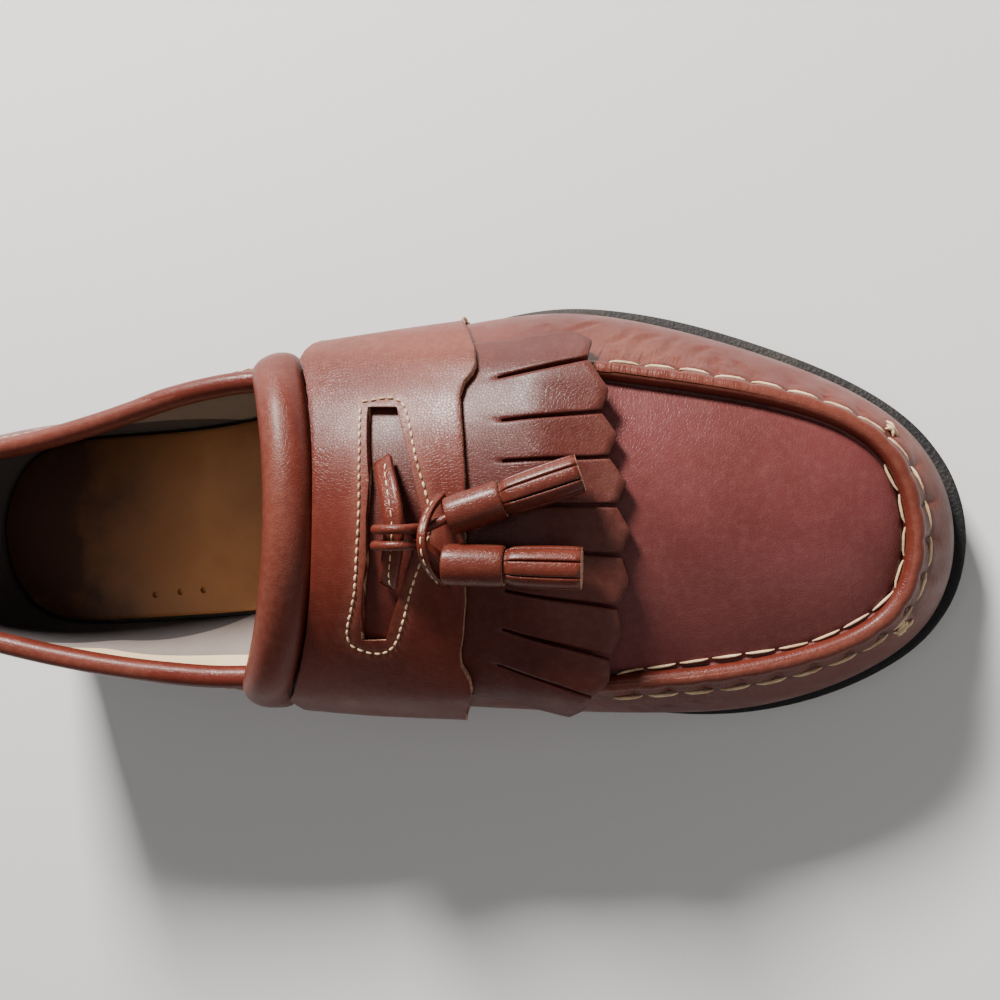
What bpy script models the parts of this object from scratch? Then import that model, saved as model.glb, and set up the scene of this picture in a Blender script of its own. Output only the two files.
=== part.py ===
"""Kiltie loafer, left shoe: rubber sole and heel, hollow leather upper, saddle, kiltie and tassels.

The tables are in millimetres on the axes of the last: X from the back of the heel to the toe,
+Y to the outer (lateral) side, +Z up from the floor. Objects are placed with their origin under
the middle of the shoe and are in metres.
"""
import math

import bmesh
import bpy
import numpy as np
from mathutils import Vector

MM = 0.001
LAST_MIDDLE = np.array([152.0, 4.15, 0.0])

# Driving sizes, in millimetres
LEATHER = 1.6            # overlays: saddle and kiltie
WALL = 2.2               # upper with its lining
GAP = 0.3                # between pieces that lie on each other
BEAD_RADIUS = 3.0        # rolled edge of the collar
RIDGE_RADIUS = 2.2       # raised moccasin seam
RIDGE_DROP = 2.0         # centre of the seam's round below its crest
INSOLE_THICK = 1.8
INSOLE_CLEAR = 0.6       # insole to the inside of the upper
SEAT_HEIGHT = 17.5       # underside of the sole over the heel
SEAT_FRONT = 60.0        # where the underside starts down to the ball
TREAD_REAR = 185.0       # the sole lies flat on the floor from here
TREAD_FRONT = 235.0      # to here
TOE_SPRING = 6.8
SOLE_LENGTH = 304.0
HEEL_FRONT = 76.0

# The closed outline is cut at these sections; a side has one of each, the ends belong to both.
# name, sole edge x, outer y, inner y, how far the upper stands in from that edge
SOLE_SECTIONS = (
    ("heel back", 0.0, 0.0, 0.0, 3.2),
    ("heel round", 6.5, 20.5, -20.5, 3.2),
    ("heel side", 21.0, 32.6, -32.6, 3.2),
    ("seat", 42.0, 36.4, -35.6, 3.2),
    ("seat front", 66.0, 37.0, -34.2, 3.2),
    ("waist rear", 90.0, 38.0, -32.8, 3.2),
    ("waist", 108.0, 40.6, -31.4, 3.3),
    ("waist front", 122.0, 43.8, -31.0, 3.6),
    ("throat", 138.0, 48.2, -32.0, 4.4),
    ("instep", 158.0, 54.0, -35.6, 4.8),
    ("ball rear", 178.0, 59.2, -41.4, 4.8),
    ("ball", 198.0, 61.6, -48.0, 4.5),
    ("ball front", 216.0, 59.8, -52.2, 4.2),
    ("plug rear", 234.0, 55.2, -53.3, 4.0),
    ("plug", 252.0, 48.4, -51.6, 3.8),
    ("plug front", 270.0, 40.0, -46.2, 3.7),
    ("toe side", 284.0, 31.4, -38.8, 3.7),
    ("toe round", 294.5, 21.8, -30.2, 3.7),
    ("toe front", 301.5, 9.6, -18.4, 3.7),
    ("toe", 304.0, -4.4, -4.4, 3.8),
)

# The top line is the collar's outer edge as far as the throat and the crest of the ridge in front.
# name, x outer, x inner, y outer, y inner, z, belly outer, belly inner, lean in degrees, bow, crown
TOP_SECTIONS = (
    ("heel back", 3.6, 3.6, 0.0, 0.0, 85.0, 3.4, 3.4, 84.0, 0.0, 0.0),
    ("heel round", 8.6, 8.6, 13.6, -13.6, 84.2, 3.4, 3.4, 84.0, 0.0, 0.0),
    ("heel side", 21.0, 21.0, 21.8, -22.4, 81.6, 4.0, 4.4, 82.0, 0.0, 0.0),
    ("seat", 42.0, 42.0, 25.6, -28.6, 76.4, 5.0, 5.5, 80.0, 0.0, 0.0),
    ("seat front", 64.0, 64.0, 28.8, -34.4, 70.4, 5.4, 8.5, 80.0, 2.0, 1.0),
    ("waist rear", 88.0, 86.0, 34.4, -38.6, 65.2, 5.4, 11.0, 79.0, 6.0, 5.0),
    ("waist", 106.0, 102.0, 39.6, -40.6, 61.4, 5.2, 12.5, 78.0, 10.0, 9.0),
    ("waist front", 121.5, 116.5, 42.4, -41.6, 58.6, 4.6, 12.8, 74.0, 15.0, 12.0),
    ("throat", 134.5, 129.0, 43.4, -41.6, 55.6, 4.0, 11.6, 64.0, 17.0, 14.4),
    ("instep", 151.0, 147.0, 43.6, -41.8, 53.6, 4.0, 9.6, 56.0, 14.0, 16.4),
    ("ball rear", 171.5, 169.0, 43.2, -41.6, 52.2, 4.6, 7.2, 52.0, 10.0, 15.6),
    ("ball", 194.0, 192.5, 41.6, -40.4, 52.0, 4.8, 5.6, 52.0, 6.0, 12.0),
    ("ball front", 213.0, 212.0, 39.0, -38.4, 52.9, 4.8, 5.0, 56.0, 3.0, 10.2),
    ("plug rear", 231.0, 231.0, 35.7, -36.4, 50.2, 4.0, 4.4, 62.0, 0.0, 9.0),
    ("plug", 249.0, 249.0, 32.2, -34.5, 46.7, 3.6, 4.0, 64.0, 0.0, 7.4),
    ("plug front", 265.5, 265.5, 28.0, -31.0, 43.4, 3.4, 3.6, 66.0, 0.0, 5.8),
    ("toe side", 278.0, 278.0, 22.6, -26.4, 40.6, 3.4, 3.4, 66.0, 0.0, 4.4),
    ("toe round", 286.0, 286.0, 15.4, -20.2, 38.4, 3.4, 3.4, 66.0, 0.0, 2.8),
    ("toe front", 290.0, 290.0, 6.4, -12.2, 36.9, 3.4, 3.4, 66.0, 0.0, 1.2),
    ("toe", 291.2, 291.2, -3.0, -3.0, 36.2, 3.4, 3.4, 66.0, 0.0, 0.0),
)
SECTIONS = len(SOLE_SECTIONS) - 1        # sections to a side, so the whole outline has twice as many
THROAT = 8                               # index of the throat section
STEPS = 2                                # stations to a section
STATIONS = 2 * SECTIONS * STEPS

# Top of the sole, where the upper is lasted: x, z
FEATHER_LINE = (
    (0.0, 26.0), (25.0, 25.9), (50.0, 25.2), (80.0, 22.4), (110.0, 18.6), (140.0, 15.4),
    (170.0, 13.2), (200.0, 11.6), (225.0, 10.5), (250.0, 10.4), (275.0, 11.8), (304.0, 14.8),
)

# Round of the rim, as angles in degrees about the centre of the bead or of the ridge
BEAD_ANGLES = (190, 155, 122, 90, 58, 25, -15)
RIDGE_ANGLES = (212, 182, 146, 106, 66, 30, -18)
FLAT_STEPS = (-3.3, -2.2, -1.1, 0.0, 1.1, 2.2, 3.3)
WALL_STEPS = (0.0, 0.12, 0.26, 0.42, 0.58, 0.74, 0.88)
LINING_STEPS = (0.0, 0.2, 0.42, 0.66, 0.86)
PLUG_STEPS = 12


class ClosedSpline:
    """Smooth closed curve through rows of values, with a whole number of the parameter at each row."""

    def __init__(self, rows):
        self.rows = np.array(rows, float)
        count = len(self.rows)
        ahead = np.roll(self.rows, -1, axis=0)
        behind = np.roll(self.rows, 1, axis=0)
        matrix = 4 * np.eye(count) + np.roll(np.eye(count), 1, axis=1) + np.roll(np.eye(count), -1, axis=1)
        self.slopes = np.linalg.solve(matrix, 3 * (ahead - behind))

    def at(self, s):
        s = np.atleast_1d(np.asarray(s, float)) % len(self.rows)
        here = np.floor(s).astype(int)
        there = (here + 1) % len(self.rows)
        t = (s - here)[:, None]
        return ((2 * t**3 - 3 * t**2 + 1) * self.rows[here] + (t**3 - 2 * t**2 + t) * self.slopes[here]
                + (3 * t**2 - 2 * t**3) * self.rows[there] + (t**3 - t**2) * self.slopes[there])

    def along(self, s, step=0.02):
        return self.at(np.asarray(s) + step) - self.at(np.asarray(s) - step)


def round_the_last():
    """Rows of the closed outline: outer side heel to toe, then inner side back to the heel."""
    rows = []
    for sole, top in zip(SOLE_SECTIONS, TOP_SECTIONS):
        rows.append((sole[1], sole[2], sole[4], top[1], top[3], top[5], top[6], *top[8:]))
    for sole, top in list(zip(SOLE_SECTIONS, TOP_SECTIONS))[-2:0:-1]:
        rows.append((sole[1], sole[3], sole[4], top[2], top[4], top[5], top[7], *top[8:]))
    return rows


LAST = ClosedSpline(round_the_last())


def smooth(low, high, value):
    """Ease from 0 at low to 1 at high."""
    t = np.clip((np.asarray(value, float) - low) / (high - low), 0, 1)
    return t * t * (3 - 2 * t)


def along_table(table, x):
    """Smooth curve through a table of two columns, flat beyond its ends."""
    xs, ys = np.array(table, float).T
    slopes = np.gradient(ys, xs)
    x = np.clip(np.asarray(x, float), xs[0], xs[-1])
    i = np.clip(np.searchsorted(xs, x) - 1, 0, len(xs) - 2)
    width = xs[i + 1] - xs[i]
    t = (x - xs[i]) / width
    return ((2 * t**3 - 3 * t**2 + 1) * ys[i] + (t**3 - 2 * t**2 + t) * width * slopes[i]
            + (3 * t**2 - 2 * t**3) * ys[i + 1] + (t**3 - t**2) * width * slopes[i + 1])


def feather(x):
    return along_table(FEATHER_LINE, x)


def underside(x):
    """Height of the sole's underside: level seat, arch, flat tread, then toe spring."""
    x = np.asarray(x, float)
    arch = SEAT_HEIGHT * smooth(0, 1, (TREAD_REAR - x) / (TREAD_REAR - SEAT_FRONT))
    spring = TOE_SPRING * np.clip((x - TREAD_FRONT) / (SOLE_LENGTH - TREAD_FRONT), 0, None) ** 2
    return arch + spring


def outward(direction):
    """Unit vectors in plan, to the left of a curve's direction: out of the clockwise outline."""
    normal = np.stack([-direction[:, 1], direction[:, 0]], axis=1)
    return normal / np.linalg.norm(normal, axis=1)[:, None]


def sole_edge(s, inset):
    """Plan points of the sole's outline, moved in by inset."""
    rows = LAST.at(s)
    return rows[:, 0:2] - outward(LAST.along(s)[:, 0:2]) * np.asarray(inset).reshape(-1, 1)


def folded(s):
    """Section number counted from the heel on either side."""
    s = np.asarray(s, float) % (2 * SECTIONS)
    return np.minimum(s, 2 * SECTIONS - s)


def upper_rails(s, wall_steps, ridge=True):
    """Outer skin of the upper at the stations s, from the feather up over the rim, and the lining's top.

    The rim is a round bead at the collar, a raised ridge round the plug and flat under the saddle.
    Without the ridge it is the surface that the overlays lie on.
    """
    s = np.atleast_1d(np.asarray(s, float))
    rows = LAST.at(s)
    edge_out = outward(LAST.along(s)[:, 0:2])
    top_out = outward(LAST.along(s)[:, 3:5])
    lean = np.radians(rows[:, 7])
    section = folded(s)
    bead_share = 1 - smooth(6.6, 7.8, section)
    ridge_share = smooth(11.7, 12.5, section)
    cover_lean = lean if ridge else lean + (math.radians(38) - lean) * ridge_share
    if not ridge:
        ridge_share = 0 * ridge_share
    flat_share = 1 - bead_share - ridge_share

    def rim_point(bead_angle, flat_step, ridge_angle):
        bead = math.radians(bead_angle)
        seam = math.radians(ridge_angle)
        across = (bead_share * BEAD_RADIUS * (1 + math.cos(bead)) + flat_share * flat_step * np.cos(cover_lean)
                  + ridge_share * RIDGE_RADIUS * math.cos(seam))
        up = (bead_share * BEAD_RADIUS * math.sin(bead) + flat_share * flat_step * np.sin(cover_lean)
              + ridge_share * (RIDGE_RADIUS * math.sin(seam) - RIDGE_DROP))
        return across, up

    def world(across, up):
        plan = rows[:, 3:5] - top_out * across[:, None]
        return np.column_stack([plan, rows[:, 5] + up])

    rim = [world(*rim_point(*angles)) for angles in zip(BEAD_ANGLES, FLAT_STEPS, RIDGE_ANGLES)]
    foot_plan = rows[:, 0:2] - edge_out * rows[:, 2:3]
    foot = np.column_stack([foot_plan, feather(foot_plan[:, 0]) + GAP])
    height = rim[0][:, 2] - foot[:, 2]
    first = foot + np.column_stack([edge_out * rows[:, 6:7], 0.34 * height])
    reach = 0.36 * height
    second = rim[0] + np.column_stack([top_out * (reach * np.cos(lean))[:, None], -reach * np.sin(lean)])
    wall = [(1 - v)**3 * foot + 3 * (1 - v)**2 * v * first + 3 * (1 - v) * v**2 * second + v**3 * rim[0]
            for v in wall_steps]

    lining_across = (bead_share * WALL + flat_share * WALL * np.sin(lean)
                     + ridge_share * (WALL - 2.0 * np.cos(lean)) / np.sin(lean) - ridge_share * 1.9)
    lining_up = -(bead_share * 4.4 + flat_share * WALL * np.cos(lean) + ridge_share * (RIDGE_DROP + 0.7 + WALL))
    return wall, rim, world(lining_across, lining_up)


def plug_rows(foot_out, foot_in, bow, crown, steps):
    """Rows across the top from the outer rim to the inner one, bowed forward and crowned."""
    grid = []
    for q in np.linspace(1, -1, steps + 1):
        points = foot_out * (1 + q) / 2 + foot_in * (1 - q) / 2
        swell = 1 - q * q
        grid.append(points + np.column_stack([bow * swell, 0 * bow, crown * swell]))
    return np.array(grid).transpose(1, 0, 2)


def surface_normals(grid):
    """Unit normals of a grid of points, by central differences."""
    normal = np.cross(np.gradient(grid, axis=0), np.gradient(grid, axis=1))
    return normal / np.maximum(np.linalg.norm(normal, axis=2), 1e-9)[..., None]


def add_material(name, colour, roughness):
    material = bpy.data.materials.get(name) or bpy.data.materials.new(name)
    material.use_nodes = True
    shader = material.node_tree.nodes["Principled BSDF"]
    shader.inputs["Base Color"].default_value = (*colour, 1.0)
    shader.inputs["Roughness"].default_value = roughness
    return material


RUBBER = ("black rubber", (0.018, 0.017, 0.018), 0.7)
BROWN = ("mahogany leather", (0.19, 0.05, 0.032), 0.38)
PLUM = ("plum brown leather", (0.13, 0.042, 0.038), 0.4)
RUSSET = ("russet leather", (0.24, 0.06, 0.03), 0.4)
TAN = ("tan leather", (0.42, 0.2, 0.09), 0.55)


def add_object(name, mesh_builder, finish, keep_normals=False):
    """Put a bmesh in millimetres of the last into the scene as a named object in metres."""
    if not keep_normals:
        bmesh.ops.recalc_face_normals(mesh_builder, faces=mesh_builder.faces)
    for vertex in mesh_builder.verts:
        vertex.co = Vector((np.array(vertex.co) - LAST_MIDDLE) * MM)
    mesh = bpy.data.meshes.new(name)
    mesh_builder.to_mesh(mesh)
    mesh_builder.free()
    mesh.shade_smooth()
    mesh.set_sharp_from_angle(angle=math.radians(50))
    mesh.materials.append(add_material(*finish))
    piece = bpy.data.objects.new(name, mesh)
    shoe.objects.link(piece)
    return piece


def add_loop(builder, points):
    return [builder.verts.new(point) for point in points]


def bridge(builder, low, high, closed=True):
    """Quads between two loops or rows with the same number of vertices."""
    count = len(low) if closed else len(low) - 1
    for k in range(count):
        j = (k + 1) % len(low)
        builder.faces.new((low[k], low[j], high[j], high[k]))


def bridge_rows(builder, row, following):
    """Faces between two rows across the plug; the toe's row may be a single vertex."""
    for m in range(len(row) - 1):
        if len(following) == 1:
            builder.faces.new((row[m], row[m + 1], following[0]))
        else:
            builder.faces.new((row[m], row[m + 1], following[m + 1], following[m]))


def rows_across(builder, loop):
    """Flat bands that close a loop, each between a pair of stations on both sides and the next pair."""
    half = len(loop) // 2
    bands = [builder.faces.new((loop[0], loop[1], loop[-1]))]
    for k in range(1, half - 1):
        bands.append(builder.faces.new((loop[k], loop[k + 1], loop[-k - 1], loop[-k])))
    bands.append(builder.faces.new((loop[half - 1], loop[half], loop[half + 1])))
    return bands


def loft(rings):
    """Closed body through rings of points, with flat ends."""
    builder = bmesh.new()
    loops = [add_loop(builder, ring) for ring in rings]
    for low, high in zip(loops, loops[1:]):
        bridge(builder, low, high)
    builder.faces.new(loops[0])
    builder.faces.new(loops[-1])
    return builder


# Sole, heel and insole

# Side of the sole from the top step down: inset from the outline, share of the thickness from the top
SOLE_SIDE = ((0.9, 0.0), (0.0, 0.10), (0.0, 0.36), (1.1, 0.42), (1.1, 0.52), (0.2, 0.58), (0.2, 0.84),
             (2.0, 1.0))
LUG_RIM = 9.0            # plain border of the tread
LUG_INSET = 2.0          # half the width of the bars between the pockets
LUG_DEPTH = 1.4
LUG_FIELD = (160.0, 288.0)


def make_outsole():
    builder = bmesh.new()
    s = np.arange(STATIONS) / STEPS
    loops = []
    for inset, share in SOLE_SIDE:
        plan = sole_edge(s, inset)
        top = feather(plan[:, 0])
        height = top + (underside(plan[:, 0]) - top) * share
        loops.append(add_loop(builder, np.column_stack([plan, height])))
    plan = sole_edge(s, LUG_RIM)
    tread = add_loop(builder, np.column_stack([plan, underside(plan[:, 0])]))
    loops.append(tread)
    for low, high in zip(loops, loops[1:]):
        bridge(builder, low, high)
    rows_across(builder, loops[0])
    bands = rows_across(builder, tread)
    bmesh.ops.recalc_face_normals(builder, faces=builder.faces)
    pockets = [band for band in bands
               if LUG_FIELD[0] < min(v.co.x for v in band.verts) and max(v.co.x for v in band.verts) < LUG_FIELD[1]]
    bmesh.ops.inset_individual(builder, faces=pockets, thickness=LUG_INSET, depth=-LUG_DEPTH,
                               use_even_offset=True)
    return add_object("outsole", builder, RUBBER)


# Side of the heel from the top down: inset from the sole's outline, share of the height from the top
HEEL_SIDE = ((2.2, 0.0), (1.0, 0.06), (1.1, 0.34), (1.8, 0.37), (1.2, 0.40), (1.4, 0.68), (2.1, 0.71),
             (1.5, 0.74), (1.9, 0.96), (2.6, 1.0))


def make_heel():
    builder = bmesh.new()
    front = np.interp(HEEL_FRONT, [row[1] for row in SOLE_SECTIONS], np.arange(SECTIONS + 1))
    s = np.linspace(0, front, 10)
    s = np.concatenate([s, -s[:0:-1]])
    loops = []
    for inset, share in HEEL_SIDE:
        plan = sole_edge(s, inset)
        top = underside(plan[:, 0]) - GAP
        loops.append(add_loop(builder, np.column_stack([plan, top * (1 - share)])))
    for low, high in zip(loops, loops[1:]):
        bridge(builder, low, high)
    for loop in (loops[0], loops[-1]):
        half = (len(loop) + 1) // 2
        builder.faces.new((loop[0], loop[1], loop[-1]))
        for k in range(1, half - 1):
            builder.faces.new((loop[k], loop[k + 1], loop[-k - 1], loop[-k]))
    return add_object("heel", builder, RUBBER)


def make_insole():
    builder = bmesh.new()
    s = np.arange(STATIONS) / STEPS
    inset = LAST.at(s)[:, 2] + WALL + INSOLE_CLEAR
    loops = []
    for narrower, height in ((0.0, 0.0), (0.0, INSOLE_THICK - 0.5), (0.5, INSOLE_THICK)):
        plan = sole_edge(s, inset + narrower)
        loops.append(add_loop(builder, np.column_stack([plan, feather(plan[:, 0]) + GAP + height])))
    for low, high in zip(loops, loops[1:]):
        bridge(builder, low, high)
    rows_across(builder, loops[0])
    rows_across(builder, loops[-1])
    return add_object("insole", builder, TAN)


# Upper

def make_upper():
    builder = bmesh.new()
    s = np.arange(STATIONS) / STEPS
    wall, rim, lining_top = upper_rails(s, WALL_STEPS)
    skin = np.array(wall + rim)
    normal = surface_normals(np.concatenate([skin[:, -1:], skin, skin[:, :1]], axis=1))[:, 1:-1]
    lining_wall = np.array(upper_rails(s, LINING_STEPS)[0])
    wall_share = np.array(WALL_STEPS + (1.0,))
    lining = []
    for v, points in zip(LINING_STEPS, lining_wall):
        low = int(np.searchsorted(wall_share, v, side="right") - 1)
        blend = (v - wall_share[low]) / (wall_share[low + 1] - wall_share[low])
        inward = normal[low] * (1 - blend) + normal[low + 1] * blend
        inward = inward / np.linalg.norm(inward, axis=1)[:, None]
        inward *= np.sign(np.sum(inward[:, :2] * (points[:, :2].mean(axis=0) - points[:, :2]), axis=1))[:, None]
        points = points + inward * WALL
        if v == 0.0:
            points[:, 2] = lining_wall[0][:, 2]
        lining.append(points)
    lining.append(lining_top)

    outer = [add_loop(builder, points) for points in skin]
    inner = [add_loop(builder, points) for points in lining]
    for rails in (outer, inner):
        for low, high in zip(rails, rails[1:]):
            bridge(builder, low, high)
    bridge(builder, outer[0], inner[0])

    throat = THROAT * STEPS
    collar = [k % STATIONS for k in range(-throat, throat + 1)]
    bridge(builder, [outer[-1][k] for k in collar], [inner[-1][k] for k in collar], closed=False)

    half = STATIONS // 2
    pairs = np.arange(throat, half + 1)
    rows = LAST.at(pairs / STEPS)
    other = -pairs % STATIONS
    top = plug_rows(skin[-1][pairs], skin[-1][other], rows[:, 8], rows[:, 9], PLUG_STEPS)
    under = top + np.sign(-surface_normals(top)[:1, PLUG_STEPS // 2, 2]) * WALL * surface_normals(top)
    skins = []
    for grid, rails in ((top, outer), (under, inner)):
        lines = []
        for i, k in enumerate(pairs[:-1]):
            lines.append([rails[-1][k], *add_loop(builder, grid[i, 1:-1]), rails[-1][-k]])
        lines.append([rails[-1][half]])
        for row, following in zip(lines, lines[1:]):
            bridge_rows(builder, row, following)
        skins.append(lines[0])
    bridge(builder, skins[0], skins[1], closed=False)
    return add_object("upper", builder, BROWN)


# Overlays on the instep

COVER_FIRST = 8.0        # the overlays' own surface is worked out between these sections
COVER_LAST = 15.0
COVER_LINES = 43
COVER_POINTS = 121


def cover_surface():
    """Smooth surface over the instep from feather to feather: points by section and by share of the girth."""
    s = np.linspace(COVER_FIRST, COVER_LAST, COVER_LINES)
    sides = []
    for side in (s, -s):
        wall, rim, _ = upper_rails(side, np.linspace(0, 0.92, 10), ridge=False)
        sides.append(np.array(wall + rim))
    rows = LAST.at(s)
    crest = rows[:, 5] + plug_middle_drop(s)
    rim_height = (sides[0][-1][:, 2] + sides[1][-1][:, 2]) / 2
    top = plug_rows(sides[0][-1], sides[1][-1], rows[:, 8], crest - rim_height, 20)
    surface = []
    for i in range(len(s)):
        line = np.concatenate([sides[0][:, i], top[i, 1:-1], sides[1][::-1, i]])
        girth = np.concatenate([[0], np.cumsum(np.linalg.norm(np.diff(line, axis=0), axis=1))])
        share = np.linspace(0, girth[-1], COVER_POINTS)
        surface.append(np.column_stack([np.interp(share, girth, line[:, axis]) for axis in range(3)]))
    return np.array(surface)


def plug_middle_drop(s):
    """Height of the real plug's middle over the top line."""
    wall, rim, _ = upper_rails(s, (0.0,))
    wall_in, rim_in, _ = upper_rails(-s, (0.0,))
    rows = LAST.at(s)
    return (rim[-1][:, 2] + rim_in[-1][:, 2]) / 2 + rows[:, 9] - rows[:, 5]


COVER = cover_surface()
COVER_SECTIONS = np.linspace(COVER_FIRST, COVER_LAST, COVER_LINES)


def on_cover(share, x):
    """Point of the cover at a share of its girth, outer feather to inner feather, and at a length x."""
    column = share * (COVER_POINTS - 1)
    low = min(int(column), COVER_POINTS - 2)
    line = COVER[:, low] * (1 - column + low) + COVER[:, low + 1] * (column - low)
    return np.array([np.interp(x, line[:, 0], line[:, axis]) for axis in range(3)])


def on_cover_at(x, y):
    """Height of the cover over a point of the plan."""
    line = np.array([on_cover(share, x) for share in np.linspace(0.1, 0.9, 161)])
    top = slice(int(np.argmax(line[:, 1])), int(np.argmin(line[:, 1])) + 1)
    return np.interp(-y, -line[top, 1], line[top, 2])


def ahead_of_throat(share, distance):
    """x of the cover at a distance square to the throat's edge, measured along the leather."""
    column = share * (COVER_POINTS - 1)
    low = min(int(column), COVER_POINTS - 2)
    line = COVER[:, low] * (1 - column + low) + COVER[:, low + 1] * (column - low)
    run = np.concatenate([[0], np.cumsum(np.linalg.norm(np.diff(line, axis=0), axis=1))])
    edge = COVER[0, low + 1] - COVER[0, low]
    ahead = line[3] - line[0]
    slant = np.linalg.norm(np.cross(edge, ahead)) / (np.linalg.norm(edge) * np.linalg.norm(ahead))
    return np.interp(distance / slant, run, line[:, 0])


def cover_grid(shares, lengths):
    """Grid of points; lengths holds a row of x for each line across."""
    return np.array([[on_cover(a, x) for a, x in zip(shares, row)] for row in lengths])


def outward_normals(grid):
    normal = surface_normals(grid)
    return normal * np.sign(normal[len(grid) // 2, grid.shape[1] // 2, 2])


def add_shell(name, grid, thickness, finish, missing=()):
    """Sheet of leather: an open surface with its thickness added outwards; missing cells are left open."""
    builder = bmesh.new()
    lines = [add_loop(builder, row) for row in grid]
    for i in range(len(lines) - 1):
        for m in range(len(lines[0]) - 1):
            if (i, m) not in missing:
                builder.faces.new((lines[i][m], lines[i][m + 1], lines[i + 1][m + 1], lines[i + 1][m]))
    loose = [v for v in builder.verts if not v.link_faces]
    bmesh.ops.delete(builder, geom=loose, context="VERTS")
    bmesh.ops.recalc_face_normals(builder, faces=builder.faces)
    if sum(face.normal.z for face in builder.faces) < 0:
        bmesh.ops.reverse_faces(builder, faces=builder.faces)
    piece = add_object(name, builder, finish, keep_normals=True)
    skin = piece.modifiers.new("thickness", "SOLIDIFY")
    skin.thickness = thickness * MM
    skin.offset = 1.0
    return piece


# Front edge of the saddle across the instep: share of the girth, x
SADDLE_FRONT = (
    (0.008, 178.0), (0.06, 179.0), (0.12, 181.5), (0.17, 185.5), (0.215, 189.3), (0.255, 192.8),
    (0.283, 194.6), (0.296, 194.0), (0.31, 192.4), (0.33, 191.9), (0.387, 193.8), (0.44, 195.1),
    (0.515, 195.3), (0.594, 194.1), (0.64, 192.3), (0.665, 190.8), (0.685, 190.4), (0.71, 191.6),
    (0.73, 191.4), (0.76, 188.5), (0.80, 185.0), (0.86, 181.0), (0.93, 178.5), (0.992, 177.0),
)
SADDLE_BEHIND = 10.8                     # from the throat's edge forward to the saddle's rear edge
SADDLE_LINES = 8
SADDLE_LIFT = LEATHER + 2.6 * GAP        # over the kiltie
# Corners of the window cut in the saddle: x, y
WINDOW = ((170.2, 30.1), (177.6, 29.7), (183.1, 16.7), (186.6, 4.0), (183.5, -5.2), (179.4, -15.1),
          (174.0, -25.5), (167.8, -25.6), (172.9, -6.0), (173.7, 12.4))


def make_saddle():
    table = np.array(SADDLE_FRONT)
    shares = np.sort(np.concatenate([table[:, 0], (table[1:, 0] + table[:-1, 0]) / 2]))
    front = np.interp(shares, table[:, 0], table[:, 1])
    rear = np.array([ahead_of_throat(a, SADDLE_BEHIND) for a in shares])
    lengths = [rear + (front - rear) * t for t in np.linspace(0, 1, SADDLE_LINES)]
    grid = cover_grid(shares, lengths)
    lift = GAP + (SADDLE_LIFT - GAP) * smooth(0.1, 0.2, np.minimum(shares, 1 - shares))
    grid = grid + outward_normals(grid) * lift[None, :, None]
    grid[:, [0, -1], 2] += GAP
    saddle = add_shell("saddle", grid, LEATHER, BROWN)

    cutter = bmesh.new()
    low = cutter.faces.new(add_loop(cutter, [(x, y, 50.0) for x, y in WINDOW]))
    raised = bmesh.ops.extrude_face_region(cutter, geom=[low])["geom"]
    bmesh.ops.translate(cutter, vec=(0, 0, 50.0), verts=[v for v in raised if isinstance(v, bmesh.types.BMVert)])
    window = add_object("window_cutter", cutter, BROWN)
    shoe.objects.unlink(window)
    cutters.objects.link(window)
    window.hide_render = True
    window.display_type = "WIRE"
    cut = saddle.modifiers.new("window", "BOOLEAN")
    cut.operation = "DIFFERENCE"
    cut.object = window
    return saddle


# Roll's section: distance forward of the throat's edge, height over the upper
ROLL_SECTION = ((9.6, 0.55), (10.2, 2.2), (9.4, 5.0), (7.2, 7.2), (4.0, 8.4), (0.8, 8.0), (-1.8, 5.8),
                (-3.0, 3.0), (-2.9, 0.6), (-1.9, -1.6), (-0.9, -1.8), (-0.5, 0.55), (4.5, 0.55))
ROLL_ENDS = (0.205, 0.79)
ROLL_STATIONS = 21
ROLL_MIDDLE = 3.4
ROLL_HOOK = (0.3, 0.36)                 # between these shares its rear edge turns down over the throat's edge
ROLL_SEAT = 0.55                         # its flat underside over the upper


def make_saddle_roll():
    throat = COVER[0]
    ahead = COVER[1] - COVER[0]
    share = np.linspace(0, 1, COVER_POINTS)
    rings = []
    for a in np.linspace(*ROLL_ENDS, ROLL_STATIONS):
        here = np.array([np.interp(a, share, throat[:, axis]) for axis in range(3)])
        girth = np.array([np.interp(a + 0.01, share, throat[:, axis]) for axis in range(3)]) - here
        forward = np.array([np.interp(a, share, ahead[:, axis]) for axis in range(3)])
        girth = girth / np.linalg.norm(girth)
        forward = forward - girth * np.dot(forward, girth)
        forward = forward / np.linalg.norm(forward)
        normal = np.cross(forward, girth)
        normal = normal * np.sign(normal[2])
        end = min(a - ROLL_ENDS[0], ROLL_ENDS[1] - a)
        long = 0.7 + 0.3 * float(smooth(0, 0.02, end))
        high = 0.4 + 0.15 * float(smooth(0, 0.02, end)) + 0.45 * float(smooth(0, 0.13, end))
        hook = float(smooth(*ROLL_HOOK, a) * smooth(*ROLL_HOOK, 1 - a))
        ring = []
        for f, n in ROLL_SECTION:
            f = f if f < ROLL_MIDDLE else ROLL_MIDDLE + (f - ROLL_MIDDLE) * long
            n = ROLL_SEAT + (n - ROLL_SEAT) * (high if n > ROLL_SEAT else hook)
            ring.append(here + forward * f + normal * n)
        rings.append(ring)
    return add_object("saddle_roll", loft(rings), BROWN)


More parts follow.
